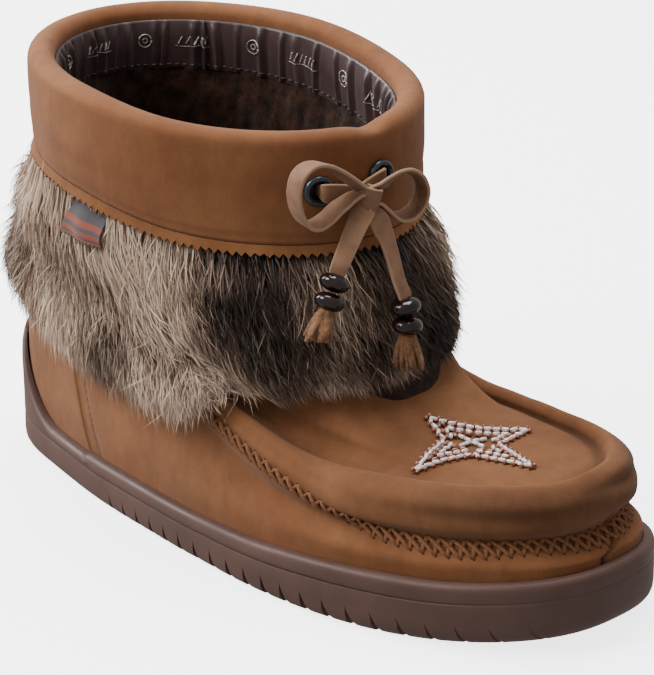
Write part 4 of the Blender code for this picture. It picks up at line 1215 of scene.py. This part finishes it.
def make_lining(satin, fleece, thread, silver):
    """The gathered satin band, the fleece below it, their stitches and the print on the satin."""
    columns = np.arange(COLUMNS * 14) / 14.0
    drops = np.linspace(SATIN_TOP, SATIN_DROP, 18)
    rings = []
    for behind, order in ((0.0, drops), (0.0005, drops[::-1])):
        rings += [lining_point(columns, drop, satin_offset(columns, drop) + behind) for drop in order]
    shell("satin_lining", rings, satin, "collar_suede", turned_over=True)

    rings = []
    for drop in np.linspace(SATIN_DROP - 0.001, FLEECE_DROP, 22):
        lumps = fleece_lumps(lining_point(FINE_COLUMNS, drop, -(WALL + FLEECE_DEPTH)))
        rings.append(lining_point(FINE_COLUMNS, drop, -(WALL + FLEECE_DEPTH) - lumps))
    for row in np.arange(12.4, 10.7, -0.2):
        fade = ease((row - 10.8) / 1.6)
        lumps = fleece_lumps(skin(FINE_COLUMNS, row, -(WALL + 0.0028)))
        rings.append(skin(FINE_COLUMNS, row, -(WALL + 0.0008) - (0.0024 + lumps) * fade))
    rings += [skin(FINE_COLUMNS, row, -(WALL + 0.0004)) for row in (10.8, 12.4, 14.0, 14.9)]
    shell("fleece_lining", rings, fleece, "insole_felt", turned_over=True)

    paths = []
    arc = np.array([0.0003, -0.0003, -0.0005, -0.0003, 0.0003])
    drop = np.full(5, SATIN_DROP - 0.0016)
    for column in spaced_columns(15.0, 0.0032, 0.0, COLUMNS)[:-1]:
        way = column + np.linspace(0.0, 0.19, 5)
        paths.append(lining_point(way, drop, satin_offset(way, drop) + arc))
    build("lining_stitches", *tubes(paths, 0.00028, 5), thread, "collar_suede")
    make_print(silver)


def make_print(silver):
    """Small silver rings and sprigs of slanting dashes printed on the satin, well apart."""
    parts = []

    def stroke(along, down, radius):
        """A thin raised line that follows the satin, from points in metres round and down it."""
        columns = column + along / spacing
        drop = PRINT_DROP + down
        path = lining_point(columns, drop, satin_offset(columns, drop) - 0.00012)
        parts.append(tubes(path[None], radius, 5, 0.5))

    way = np.linspace(0.0, 1.0, 17)
    turn = 2.0 * math.pi * way
    for number, column in enumerate(spaced_columns(15.0, 0.0215, 0.0, COLUMNS)[:-1]):
        spacing = float(np.linalg.norm(skin(column + 0.5, 15.0) - skin(column - 0.5, 15.0)))
        if number % 2:
            for ring in (0.0028, 0.0010):
                stroke(ring * np.cos(turn), ring * np.sin(turn), 0.00042)
        else:
            for shift in (-0.0058, -0.0036, -0.0014, 0.0008, 0.0030, 0.0052):
                stroke(shift + 0.0012 * way, 0.0016 - 0.0032 * way, 0.00042)
            stroke(-0.0066 + 0.0136 * way, 0.0024 + 0.0003 * np.sin(way * 9.0), 0.00022)
    build("lining_print", *join(parts), silver, "collar_suede")


def make_insole(fleece):
    """The model's insole keeps its shape and takes the fleece."""
    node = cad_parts["insole"]
    node.data.materials.clear()
    node.data.materials.append(fleece)


def make_trim(leather):
    """The strip under the collar with its pinked lower edge."""
    teeth = spaced_columns(13.5, 0.0015, 0.0, COLUMNS)[:-1]
    teeth = teeth[: len(teeth) // 2 * 2]
    top = row_at_drop(teeth, SEAM, FIT_GAP)
    low = row_at_drop(teeth, SEAM, TRIM_HEIGHT)
    source = np.random.default_rng(51)
    reach = low + (top - low) * 0.06 * source.normal(size=len(teeth))
    notch = low + (top - low) * 0.36
    edge = np.where(np.arange(len(teeth)) % 2 == 1, reach, notch)
    inner = FUR_GAP + FUR_HIDE + FIT_GAP
    flare = 0.0008 + 0.0005 * waves(skin(teeth, low), 0.015, 52)
    rings = []
    for share, out, thick in (
        (1.0, 1.0, TRIM_THICKNESS),
        (0.66, 0.55, TRIM_THICKNESS),
        (0.33, 0.2, TRIM_THICKNESS),
        (0.0, 0.0, TRIM_THICKNESS),
        (0.0, 0.0, 0.0),
        (1.0, 1.0, 0.0),
    ):
        rings.append(skin(teeth, top + (edge - top) * share, inner + thick + flare * out))
    piece = shell("pinked_strip", rings, leather, "trim_suede", turned_over=True, sharp=35.0)
    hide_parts("pinked_trim")


def fur_ends():
    """Rows at the trim's lower edge and at the fur's hem, for the fine columns."""
    angle = degrees_from_heel(RIM)
    hem = np.where(column_angles(RIM) > math.pi, table(HEM, angle, 1), table(HEM, angle, 2))
    return row_at_drop(FINE_COLUMNS, SEAM, TRIM_HEIGHT + FIT_GAP), hem


def dark_front(columns):
    """Share of the near black that the fur has in front."""
    return ease((DARK_REACH - from_toe(columns)) / DARK_FADE)


def hem_share(columns):
    """Share of the way to the model's hem at which the hairs end: shorter on the outer side and behind."""
    columns = np.mod(columns, COLUMNS)
    side = np.where(columns > TOE, 1.0, ease(1.0 - columns / 8.0))
    return 1.0 - HEM_SHORT * side * ease((from_toe(columns) - 9.0) / 2.5)


def blur_rows(field):
    field[1:-1] = (field[:-2] + 2.0 * field[1:-1] + field[2:]) / 4.0


def blurred_round(field):
    return (np.roll(field, 1, axis=1) + 2.0 * field + np.roll(field, -1, axis=1)) / 4.0


def make_fur_base():
    """Smooth rings that the hairs lie on, from under the trim to below the hem, and their outward ways."""
    top, hem = fur_ends()
    rows = np.maximum(top + (hem - top) * FUR_PLACES[:, None], 1.1)
    true = over_valley(np.broadcast_to(FINE_COLUMNS, rows.shape), rows)
    smooth = true.copy()
    for _ in range(60):
        blur_rows(smooth)
    for _ in range(30):
        smooth = blurred_round(smooth)
    around = np.roll(smooth, -4, axis=1) - np.roll(smooth, 4, axis=1)
    outward = unit(np.cross(-np.gradient(smooth, axis=0), around))
    lift = np.maximum(((true - smooth) * outward).sum(axis=2), 0.0)
    for _ in range(12):
        wider = blurred_round(lift)
        blur_rows(wider)
        lift = np.maximum(lift, wider)
    away = ease((FUR_PLACES - 0.02) / 0.25)[:, None, None]
    return true * (1.0 - away) + (smooth + outward * lift[..., None]) * away, outward


FUR_BASE, FUR_OUT = make_fur_base()


def fur_point(columns, place, offset):
    """Points over the fur's base, at a share of the way from the trim to the hem."""
    columns, place, offset = np.broadcast_arrays(columns, place, offset)
    level = np.interp(place, FUR_PLACES, np.arange(len(FUR_PLACES)))
    return bilinear(FUR_BASE, level, columns) + bilinear(FUR_OUT, level, columns) * offset[..., None]


def make_fur(hair, undercoat):
    """The fur cuff: a dark undercoat and long hairs in pointed locks, in four joined meshes."""
    top, hem = fur_ends()
    front = dark_front(FINE_COLUMNS)
    end = hem_share(FINE_COLUMNS) - 0.05 - 0.33 * front
    thick = FUR_DEPTH * (1.0 - 0.45 * front)
    rings = [fur_point(FINE_COLUMNS, place * end, FUR_GAP + thick * depth) for place, depth in UNDERCOAT]
    for place in (0.96, 0.8, 0.6, 0.3, 0.0, -0.06):
        rings.append(over_valley(FINE_COLUMNS, top + (hem - top) * place * end, FUR_GAP * 0.6))
    base = shell("fur_undercoat", rings, undercoat, "fur", turned_over=True)
    front = front[:, None]
    tint = np.array((0.105, 0.078, 0.058)) * (1.0 - front) + np.array((0.010, 0.007, 0.006)) * front
    set_colours(base, "hair", np.tile(tint, (len(rings), 1)))
    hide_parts("fur_cuff")

    locks = LOCKS
    for number in range(3):
        points, colours, faces = hairs(np.random.default_rng(60 + number), locks)
        piece = build(f"fur_hair_{number + 1}", points, faces, hair, "fur")
        set_colours(piece, "hair", colours)


def hairs(source, locks):
    """Tapered hairs in locks over the cuff. Returns their points, colours and faces."""
    ring = FUR_BASE[len(FUR_PLACES) // 2]
    length = np.linalg.norm(np.roll(ring, -1, axis=0) - ring, axis=1)
    total = np.concatenate([[0.0], np.cumsum(length)])
    centre = np.interp(source.uniform(0.0, total[-1], locks), total, np.arange(STEPS + 1) / FINE) % COLUMNS
    way = np.linspace(0.0, 1.0, 9)
    line = fur_point(centre[:, None], way, 0.004)
    tall = np.linalg.norm(np.diff(line, axis=1), axis=2).sum(axis=1)
    long = source.uniform(*LOCK_LENGTH, locks)
    share = np.minimum(long / tall, 0.8)
    ragged = source.normal(0.0, 0.020, locks)
    begin = source.uniform(-0.03, 1.0, locks)
    last = hem_share(centre) + ragged - share
    begin = np.where(source.uniform(size=locks) < 0.22, last, np.minimum(begin, last))
    begin = np.where(source.uniform(size=locks) < 0.16, source.uniform(-0.04, 0.06, locks), begin)
    drift = source.normal(0.0, 0.09, locks)
    lift = source.uniform(0.70, 1.18, locks)
    spacing = np.linalg.norm(fur_point(centre + 0.5, 0.5, 0.0) - fur_point(centre - 0.5, 0.5, 0.0), axis=1)

    count = locks * LOCK_HAIRS
    lock = np.repeat(np.arange(locks), LOCK_HAIRS)
    s = np.linspace(0.0, 1.0, 5)[None]
    spread = source.normal(0.0, LOCK_SPREAD, count) / spacing[lock]
    root = begin[lock] + source.normal(0.0, 0.035, count)
    reach = share[lock] * source.uniform(0.82, 1.10, count)
    own = drift[lock] + source.normal(0.0, 0.06, count)
    stray = source.uniform(size=count) < 0.03
    own = np.where(stray, own * 2.4, own)
    bend = source.normal(0.0, 0.10, count)
    columns = centre[lock][:, None] + spread[:, None] * (1.0 - 0.50 * s)
    sideways = own[:, None] * s + bend[:, None] * s * s
    columns = columns + sideways * (long[lock] / spacing[lock])[:, None]
    place = np.maximum(root[:, None] + reach[:, None] * s, -0.07)
    depth = np.interp(place[:, -1], *zip(*FUR_PROFILE))
    tip = FUR_GAP + FUR_DEPTH * depth * lift[lock] * source.uniform(0.72, 1.12, count)
    tip = np.where(stray, tip * 1.25 + 0.001, tip)
    low = 0.0012 + 0.0010 * source.uniform(size=count)
    offset = low[:, None] + (tip - low)[:, None] * (1.0 - (1.0 - s) ** 1.7)
    offset = under_label(columns, place, offset)
    points = fur_point(columns, place, offset)
    along = unit(np.gradient(points, axis=1))
    out = bilinear(FUR_OUT, np.full(count, len(FUR_PLACES) / 2.0), centre[lock])[:, None]
    side = unit(np.cross(along, out))
    up = np.cross(side, along)
    roll = source.normal(0.0, 0.55, count)[:, None, None]
    side = side * np.cos(roll) + up * np.sin(roll)
    width = np.array(HAIR_HALF_WIDTHS)[:, None] * source.uniform(0.8, 1.5, count)[:, None, None]
    across = side[:, :4] * width
    all_points = np.concatenate([points[:, :4] - across, points[:, :4] + across, points[:, 4:]], axis=1)
    first = (np.arange(count) * 9)[:, None]
    quads = np.concatenate([first + np.array([k, k + 1, k + 5, k + 4]) for k in range(3)])
    tips = first + np.array([3, 8, 7])

    colours = hair_colours(source, points, centre, place, lock)
    all_colours = np.concatenate([colours[:, :4], colours[:, :4], colours[:, 4:]], axis=1)
    return all_points.reshape(-1, 3), all_colours.reshape(-1, 3), [quads, tips]


def lengths_along(path):
    """Length from the path's start to each of its points."""
    return np.concatenate([[0.0], np.cumsum(np.linalg.norm(np.diff(path, axis=0), axis=1))])


def label_frame():
    """Middle column of the tab, its width in columns and its height as a share of the fur's."""
    middle = column_toward(LABEL_BEARING)
    ends = fur_point(np.array([middle - 0.5, middle + 0.5]), 0.1, FUR_DEPTH * 0.5)
    places = np.linspace(0.0, 0.5, 21)
    down = lengths_along(fur_point(middle, places, FUR_DEPTH * 0.5))
    wide = LABEL_WIDTH / np.linalg.norm(ends[1] - ends[0])
    return middle, wide, float(np.interp(LABEL_HEIGHT, down, places))


def label_depth(share):
    """Height of the tab's back over the fur's base: close under the trim, out over the fur below it."""
    return 0.0012 + (FUR_GAP + FUR_DEPTH * 0.62 - 0.0012) * ease((share + 0.05) / 0.75)


def under_label(columns, place, offset):
    """Keeps hairs below the tab where it covers them."""
    middle, wide, tall = label_frame()
    covered = (np.abs(columns - middle) < wide * 0.54) & (place < tall * 1.02)
    return np.where(covered, np.minimum(offset, label_depth(place / tall) - 0.0004), offset)


def hair_colours(source, points, centre, place, lock):
    """Cream and tan at the sides, brown behind, near black in front, in streaks and patches."""
    cream = np.array((0.62, 0.46, 0.345))
    tan = np.array((0.31, 0.212, 0.153))
    brown = np.array((0.085, 0.048, 0.031))
    black = np.array((0.010, 0.006, 0.005))
    toward = from_toe(centre)[lock]
    front = dark_front(centre)[lock] * np.where(centre[lock] < TOE - 2.0, 0.62, 1.0)
    behind = ease((toward - 19.0) / 5.0)
    patch = waves(points[:, 2], 0.020, 71, 2)
    count = len(lock)
    streak = source.normal(0.0, 0.26, len(centre))[lock] + source.normal(0.0, 0.32, count)
    blotch = waves(points[:, 2], 0.012, 72, 2)
    tone = 0.58 + (0.24 + 0.26 * front) * patch + 0.14 * blotch + 0.36 * streak - 0.54 * front - 0.22 * behind
    tone += 0.25 * front * ease((place[:, 2] - 0.72) / 0.2) + 0.30 * ease((0.22 - place[:, 2]) / 0.2)
    banding = np.array([-0.40, -0.12, 0.10, 0.20, 0.05])
    tone = tone[:, None] + banding[None] + 0.10 * source.normal(size=(count, 1))
    knots = [-0.15, 0.22, 0.60, 1.05]
    shades = np.array([black, brown, tan, cream])
    return np.stack([np.interp(tone, knots, shades[:, k]) for k in range(3)], axis=-1)


def make_label(weave, thread):
    """A plain woven tab with rust bands, hung from under the trim over the fur."""
    middle, wide, tall = label_frame()
    across = np.linspace(-0.5, 0.5, 25)
    columns = middle + across * wide
    sheets = []
    bands = []
    for lift in (LABEL_THICKNESS * 0.8, 0.0):
        rows = []
        for share in np.linspace(-0.18, 1.0, 17):
            curl = 0.0009 * share**2 * np.cos(across * 2.6) + 0.0004 * np.sin(across * 9.0 + share * 3.0)
            offset = label_depth(share) + curl * ease(share / 0.4) + lift
            rows.append(fur_point(columns, share * tall, offset))
            bands.append(np.full(len(columns), max(share, 0.0)))
        sheets.append(rows if lift else rows[::-1])
    front = bands[:17]
    rings = np.concatenate([sheets[0], sheets[1]])
    count = len(columns)
    faces = [grid_faces(len(rings), count, True, False)]
    left = np.array([[k * count, (k + 1) * count, (32 - k) * count, (33 - k) * count] for k in range(16)])
    faces += [left[:, ::-1], left + count - 1]
    piece = build("woven_tab", rings, faces, weave, "label_cloth", 40.0)
    layer = piece.data.attributes.new("band", "FLOAT", "POINT")
    layer.data.foreach_set("value", np.concatenate(front + front[::-1]).astype(np.float32))
    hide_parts("side_label")
    paths = []
    source = np.array(sheets[0])
    out = direction(middle, 13.4) * np.array([0.0, 0.0002, 0.00025, 0.0002, 0.0])[:, None]
    for k in range(1, 23, 2):
        for line in (2, 15):
            start, end = source[line, k : k + 2]
            paths.append(start + (end - start) * np.linspace(0.0, 0.9, 5)[:, None] + out)
    build("tab_stitches", *tubes(paths, 0.00014, 5), thread, "label_cloth")


def make_star(white, copper, brown):
    """The four-pointed star: bugle beads along the edges of its arms, copper seed beads between them."""
    facets = grid_faces(len(ROWS), STEPS)
    plug = BVHTree.FromPolygons(GRID.reshape(-1, 3).tolist(), facets.tolist())

    def on_plug(x, y, rise):
        hit = plug.ray_cast((float(x), float(y), RIM_HEIGHT / 2.0), (0.0, 0.0, -1.0))[0]
        return np.array([x, y, hit.z + rise])

    bugles, seeds, threads = [], [], []
    centre = np.array(STAR_CENTRE)
    tips = np.array(STAR_TIPS)
    source = np.random.default_rng(81)
    for k in range(4):
        tip = tips[k]
        way = unit(tip)
        side = np.array([-way[1], way[0]])
        for sign in (1.0, -1.0):
            neighbour = tips[(k + 1) % 4] if sign > 0 else tips[(k - 1) % 4]
            waist = STAR_WAIST * unit(way + unit(neighbour))
            edge = tip - waist
            inside = unit(np.array([edge[1], -edge[0]]))
            inside *= np.sign(np.dot(inside, -waist))
            steps = max(int(np.linalg.norm(edge) / BEAD_PITCH), 3)
            for inward, group, size in STAR_ROWS:
                for n in range(steps):
                    here = waist + edge * (n + 0.5) / steps + inside * inward
                    if np.dot(here, side * sign) < 0.0004 and inward > 0.0:
                        continue
                    lean = unit(edge) + inside * source.normal(0.0, 0.36)
                    (bugles if group == "white" else seeds).append((centre + here, lean, size))
            for n in range(steps + 1):
                here = waist + edge * n / steps - inside * 0.0011
                seeds.append((centre + here, inside, 0.0006))
        for distance in np.arange(0.0016, 0.0060, BEAD_PITCH):
            bugles.append((centre + way * distance, way, 0.0011))
        threads.append((centre + tip * 0.93, centre + tip * 1.06))

    def capsules(items, radius, reach):
        parts = []
        ends = ((0.35, 1.0), (0.0, 0.85), (-0.15, 0.45))
        for place, lean, size in items:
            half = unit(lean) * size * reach
            a = on_plug(*(place - half), radius * 1.05)
            b = on_plug(*(place + half), radius * 1.05)
            span = np.linalg.norm(b - a)
            profile = [(radius * along, radius * wide) for along, wide in ends[::-1]]
            profile += [(span - radius * along, radius * wide) for along, wide in ends]
            caps = [np.arange(8)[None, ::-1], np.arange(40, 48)[None]]
            parts.append((turned(a, b - a, profile, 8), [grid_faces(6, 8), *caps]))
        return join(parts)

    piece = build("star_white_beads", *capsules(bugles, WHITE_RADIUS, 1.0), white, "star_beads")
    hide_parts("bead_star")
    build("star_copper_beads", *capsules(seeds, COPPER_RADIUS, 0.9), copper, "star_beads")
    paths = []
    for start, end in threads:
        flat = start + (end - start) * np.linspace(0.0, 1.0, 5)[:, None]
        paths.append([on_plug(x, y, 0.0003) for x, y in flat])
    build("star_threads", *tubes(paths, 0.0003), brown, "star_beads")


def make_eyelets(enamel):
    """Two eyelets, each a barrel through the collar's outer layer below a flange with a rounded rim."""
    hole = EYELET_HOLE / 2.0
    barrel = hole + EYELET_WALL
    flange = EYELET_FLANGE / 2.0
    low = -COLLAR_PAD * 0.7
    seat = -0.0002
    crown = FIT_GAP * 2.0 + EYELET_RIM
    corner = 0.0014
    lip = seat + 0.0006
    profile = [(low, barrel), (seat, barrel), (seat, flange)]
    for turn in np.radians((0.0, 30.0, 60.0, 90.0)):
        profile.append((lip + (crown - lip) * math.sin(turn), flange - corner * (1.0 - math.cos(turn))))
    profile += [(crown, barrel + 0.0008), (crown - 0.0004, barrel), (crown - 0.0012, hole), (low, hole)]
    for name, place in (("left", EYELET_LEFT), ("right", EYELET_RIGHT)):
        centre, _, _, out = shaft_frame(place, FIT_GAP + COLLAR_PAD)
        rings = turned(centre, out, profile, 40)
        piece = shell(f"enamel_eyelet_{name}", rings, enamel, "eyelet_metal", sharp=50.0)
        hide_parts(f"eyelet_{name}")


def strap(name, path, wide, widths, made_of):
    """A flat thong with rounded edges along a path."""
    along = unit(np.gradient(path, axis=0))
    wide = unit(wide - along * (wide * along).sum(axis=1)[:, None])
    thick = np.cross(along, wide) * LACE_THICKNESS / 2.0
    wide = wide * np.broadcast_to(widths, len(path))[:, None] / 2.0
    section = THONG_SECTION + tuple((-u, -v, edge) for u, v, edge in THONG_SECTION)
    points = np.stack([path + wide * u + thick * v for u, v, _ in section], axis=1)
    lit = np.tile([edge for _, _, edge in section], len(path))
    count = len(section)
    last = (len(path) - 1) * count
    caps = [np.arange(count)[None], np.arange(last, last + count)[None, ::-1]]
    faces = [grid_faces(len(path), count)[:, ::-1], *caps]
    piece = build(name, points, faces, made_of, "thong_leather", 60.0)
    set_colours(piece, "edge", np.repeat(lit[:, None], 3, axis=1))
    return piece


def knot_frame():
    knot, left, up, out = shaft_frame(KNOT_PLACE, FIT_GAP + COLLAR_PAD + KNOT_STAND_OFF)
    return knot, np.array([left, up, out])


def make_bow(thong, wood, hide):
    """Each side is one thong: from its eyelet to the knot, round its loop, back through the knot and down."""
    knot, axes = knot_frame()
    over = FIT_GAP + COLLAR_PAD
    sides = (
        ("left", EYELET_LEFT, LOOP_LEFT, TAIL_LEFT, TUFT_LEFT_END, 1.0),
        ("right", EYELET_RIGHT, LOOP_RIGHT, TAIL_RIGHT, TUFT_RIGHT_END, -1.0),
    )
    for name, eyelet, loop, tail, tuft_end, sign in sides:
        hole, left, up, out = shaft_frame(eyelet, over)
        bar = [
            (hole - out * 0.0030, up, 0.45),
            (hole + out * 0.0006 - left * sign * 0.0004, up, 0.60),
            (hole + out * 0.0032 - left * sign * 0.0020, up, 0.85),
        ]
        knot_back = knot + np.array((0.0026 + 0.0012 * sign, 0.0008, -0.0050)) @ axes
        bar.append((knot_back, up, 0.85))
        inside = knot + np.array((0.0026 + 0.0006 * sign, 0.0020, -0.0022)) @ axes
        bar.append((inside, axes[2] * 0.7 + axes[1] * 0.7, 0.5))
        round_loop = []
        for row in loop:
            tilt = math.radians(row[2])
            wide = np.array([0.0, math.sin(tilt), math.cos(tilt)]) @ axes
            ends = min(abs(row[0] - 0.0025) / 0.0100, 1.0)
            round_loop.append((knot + np.array([row[0], row[1], 0.0]) @ axes, wide, 0.55 + 0.45 * ends))
        through = knot + np.array((0.0026 + 0.0004 * sign, 0.0004, 0.0012)) @ axes
        down = []
        for number, row in enumerate(tail):
            twist = math.radians(row[3])
            wide = np.array([math.cos(twist), 0.0, math.sin(twist)]) @ axes
            down.append((knot + np.array(row[:3]) @ axes, wide, 1.0 - 0.3 * number / (len(tail) - 1)))
        start = np.array(tail[-1][:3]) @ axes + knot
        end = knot + np.array(tuft_end) @ axes
        axis = unit(end - start)
        into = start + axis * BEAD_HEIGHT * 0.9
        stops = bar + round_loop + [(through, axes[0] * 0.4 + axes[2], 0.5)] + down
        stops.append((into, down[-1][1], 0.45))
        path, wide, widths = (smooth_path(values, THONG_STEPS) for values in zip(*stops))
        flutter = 0.00015 * waves(path, 0.006, 90)
        widths = LACE_WIDTH * np.clip(widths, 0.3, 1.0)
        piece = strap(f"thong_{name}", path + axes[2] * flutter[:, None], wide, widths, thong)
        held = hang_beads(name, start, end, wood, hide)
        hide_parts(f"bow_loop_{name}", f"lace_tail_{name}", "lace_bar")

    centre = knot + np.array(KNOT_SHIFT) @ axes
    lean = 0.35
    turn = np.linspace(0.0, 2.0 * math.pi, 41)
    across = np.cos(turn) * 0.0034
    ring = centre + np.stack([across, across * lean, np.sin(turn) * 0.0050], axis=1) @ axes
    wide = np.tile(np.array([-lean, 1.0, 0.0]) @ axes, (len(turn), 1))
    wrap = strap("knot_wrap", ring, wide, LACE_WIDTH * 1.05, thong)
    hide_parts("lace_knot")


def hang_beads(side, start, end, wood, hide):
    """Two polished beads and a frayed tuft in line below the end of a tail."""
    axis = end - start
    length = np.linalg.norm(axis)
    axis /= length
    held = []
    source = np.random.default_rng(95 if side == "left" else 96)
    bore = math.asin(BEAD_BORE * 0.6)
    inner = (BEAD_HEIGHT * 0.40, BEAD_BORE * 0.5 * BEAD_DIAMETER / 2.0)
    profile = [(-inner[0], inner[1])]
    for turn in np.linspace(bore, math.pi - bore, 17):
        radius = math.sin(turn) ** 0.85
        profile.append((-math.cos(turn) * BEAD_HEIGHT / 2.0, radius * BEAD_DIAMETER / 2.0))
    profile.append(inner)
    for number, name in enumerate(("upper", "lower")):
        centre = start + axis * (2.0 * FIT_GAP + BEAD_HEIGHT / 2.0 + number * (BEAD_HEIGHT + FIT_GAP))
        rings = turned(centre, axis + source.normal(0.0, 0.10, 3), profile, 32)
        piece = shell(f"wood_bead_{side}_{name}", rings, wood, "bead_horn")
        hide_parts(f"bead_{side}_{name}")
        held.append(piece)
    top = 2.0 * (BEAD_HEIGHT + FIT_GAP) + 2.0 * FIT_GAP - 0.0008
    tall = length - top
    across = unit(np.cross(axis, (0.0, 0.0, 1.0)))
    other = np.cross(axis, across)
    paths = []
    widths = []
    s = np.linspace(0.0, 1.0, 9)
    for _ in range(TUFT_STRANDS):
        angle = source.uniform(0.0, 2.0 * math.pi)
        spoke = across * math.cos(angle) + other * math.sin(angle)
        reach = source.uniform(0.35, 1.0) * TUFT_WIDTH / 2.0
        long = tall * source.uniform(0.80, 1.03)
        swell = 0.25 + 0.75 * s**0.7
        curl = source.normal(0.0, 0.0005, 3)[None] * (s**2)[:, None]
        body = start + axis * (top + long * s)[:, None] + spoke * (reach * swell)[:, None] + curl
        paths.append(body)
        widths.append(source.uniform(0.0009, 0.0018) * (1.0 - 0.45 * s**3))
    piece = build(f"hide_tuft_{side}", *tubes(paths, np.array(widths), 6, 0.55), hide, "tuft_hide")
    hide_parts(f"tuft_{side}")
    held.append(piece)
    return held


def make_stage():
    """A glowing white floor that casts no light on the shoe, a pale world and three soft lamps."""
    mesh = bpy.data.meshes.new("floor")
    size = 6.0
    corners = [(-size, -size, 0), (size, -size, 0), (size, size, 0), (-size, size, 0)]
    mesh.from_pydata(corners, [], [(0, 1, 2, 3)])
    floor = bpy.data.objects.new("floor", mesh)
    bpy.context.collection.objects.link(floor)
    made = Shader("floor", (0.95, 0.95, 0.95), 0.9, Specular_IOR_Level=0.1, Emission_Strength=3.2)
    made.base.inputs["Emission Color"].default_value = (1.0, 1.0, 1.0, 1.0)
    mesh.materials.append(made.material)
    floor.visible_diffuse = False
    floor.visible_glossy = False
    world = bpy.data.worlds.new("studio")
    world.use_nodes = True
    world.node_tree.nodes["Background"].inputs["Color"].default_value = (1.0, 1.0, 1.0, 1.0)
    world.node_tree.nodes["Background"].inputs["Strength"].default_value = 0.56
    bpy.context.scene.world = world

    aim = Vector((0.09, 0.0, 0.06))
    for name, place, size, power in (
        ("key", (-0.50, -1.05, 1.10), 0.7, 21.0),
        ("left fill", (-1.20, -0.30, 0.70), 0.8, 27.0),
        ("top", (-0.10, 0.25, 1.50), 0.8, 23.0),
    ):
        light = bpy.data.lights.new(name, "AREA")
        light.size = size
        light.energy = power
        lamp = bpy.data.objects.new(name, light)
        lamp.location = place
        lamp.rotation_euler = (aim - Vector(place)).to_track_quat("-Z", "Y").to_euler()
        bpy.context.collection.objects.link(lamp)


def make_camera():
    """The camera, rolled a little about its view, with its frame given in pixels."""
    azimuth, elevation, roll = (math.radians(value) for value in (45.0, 22.0, -0.432))
    distance = 1.25
    focal = 3539.1
    shift = (-39.09, 18.92)
    long_side = 675.0
    target = Vector((0.094, 0.0, 0.06))
    flat = math.cos(elevation)
    back = Vector((math.sin(azimuth) * flat, -math.cos(azimuth) * flat, math.sin(elevation)))
    level = Vector((math.cos(azimuth), math.sin(azimuth), 0.0))
    above = back.cross(level)
    right = level * math.cos(roll) + above * math.sin(roll)
    up = above * math.cos(roll) - level * math.sin(roll)
    place = target + back * distance
    data = bpy.data.cameras.new("camera")
    data.sensor_width = 36.0
    data.lens = focal / long_side * data.sensor_width
    data.shift_x = -shift[0] / long_side
    data.shift_y = shift[1] / long_side
    data.clip_start = 0.05
    camera = bpy.data.objects.new("camera", data)
    turn = Matrix((right, up, back)).transposed().to_4x4()
    camera.matrix_world = Matrix.Translation(place) @ turn
    bpy.context.collection.objects.link(camera)
    bpy.context.scene.camera = camera


def main():
    make_camera()
    make_stage()
    leather = suede("upper suede", (0.152, 0.058, 0.023), (0.194, 0.079, 0.032), (0.242, 0.103, 0.044), True)
    cuff = suede("collar suede", (0.160, 0.058, 0.022), (0.194, 0.075, 0.029), (0.230, 0.093, 0.038), True)
    strip = suede("trim suede", (0.155, 0.058, 0.020), (0.196, 0.078, 0.027), (0.25, 0.106, 0.038))
    thread = thread_material("waxed thread", (0.150, 0.057, 0.022), (0.225, 0.093, 0.038))
    dark_thread = thread_material("lining thread", (0.03, 0.02, 0.02), (0.16, 0.12, 0.11))
    make_bow(thong_material(), bead_material(), hide_material())
    make_eyelets(enamel_material())
    fleece = fleece_material()
    make_upper(leather, fleece)
    make_stitches(thread)
    # The awl holes' dark colour is painted shade for their depth.
    make_holes(Shader("painted shade of awl holes", (0.035, 0.014, 0.007), 0.95).material)
    make_sole(rubber_material())
    make_collar(cuff)
    make_lining(satin_material(), fleece, dark_thread, silver_material())
    make_insole(fleece)
    make_trim(strip)
    make_fur(hair_material(), undercoat_material())
    make_label(label_material(), dark_thread)
    white = glass_material("white glass", (0.86, 0.78, 0.76), (0.60, 0.48, 0.46))
    copper = glass_material("copper glass", (0.36, 0.12, 0.06), (0.14, 0.04, 0.02))
    make_star(white, copper, thread)


main()
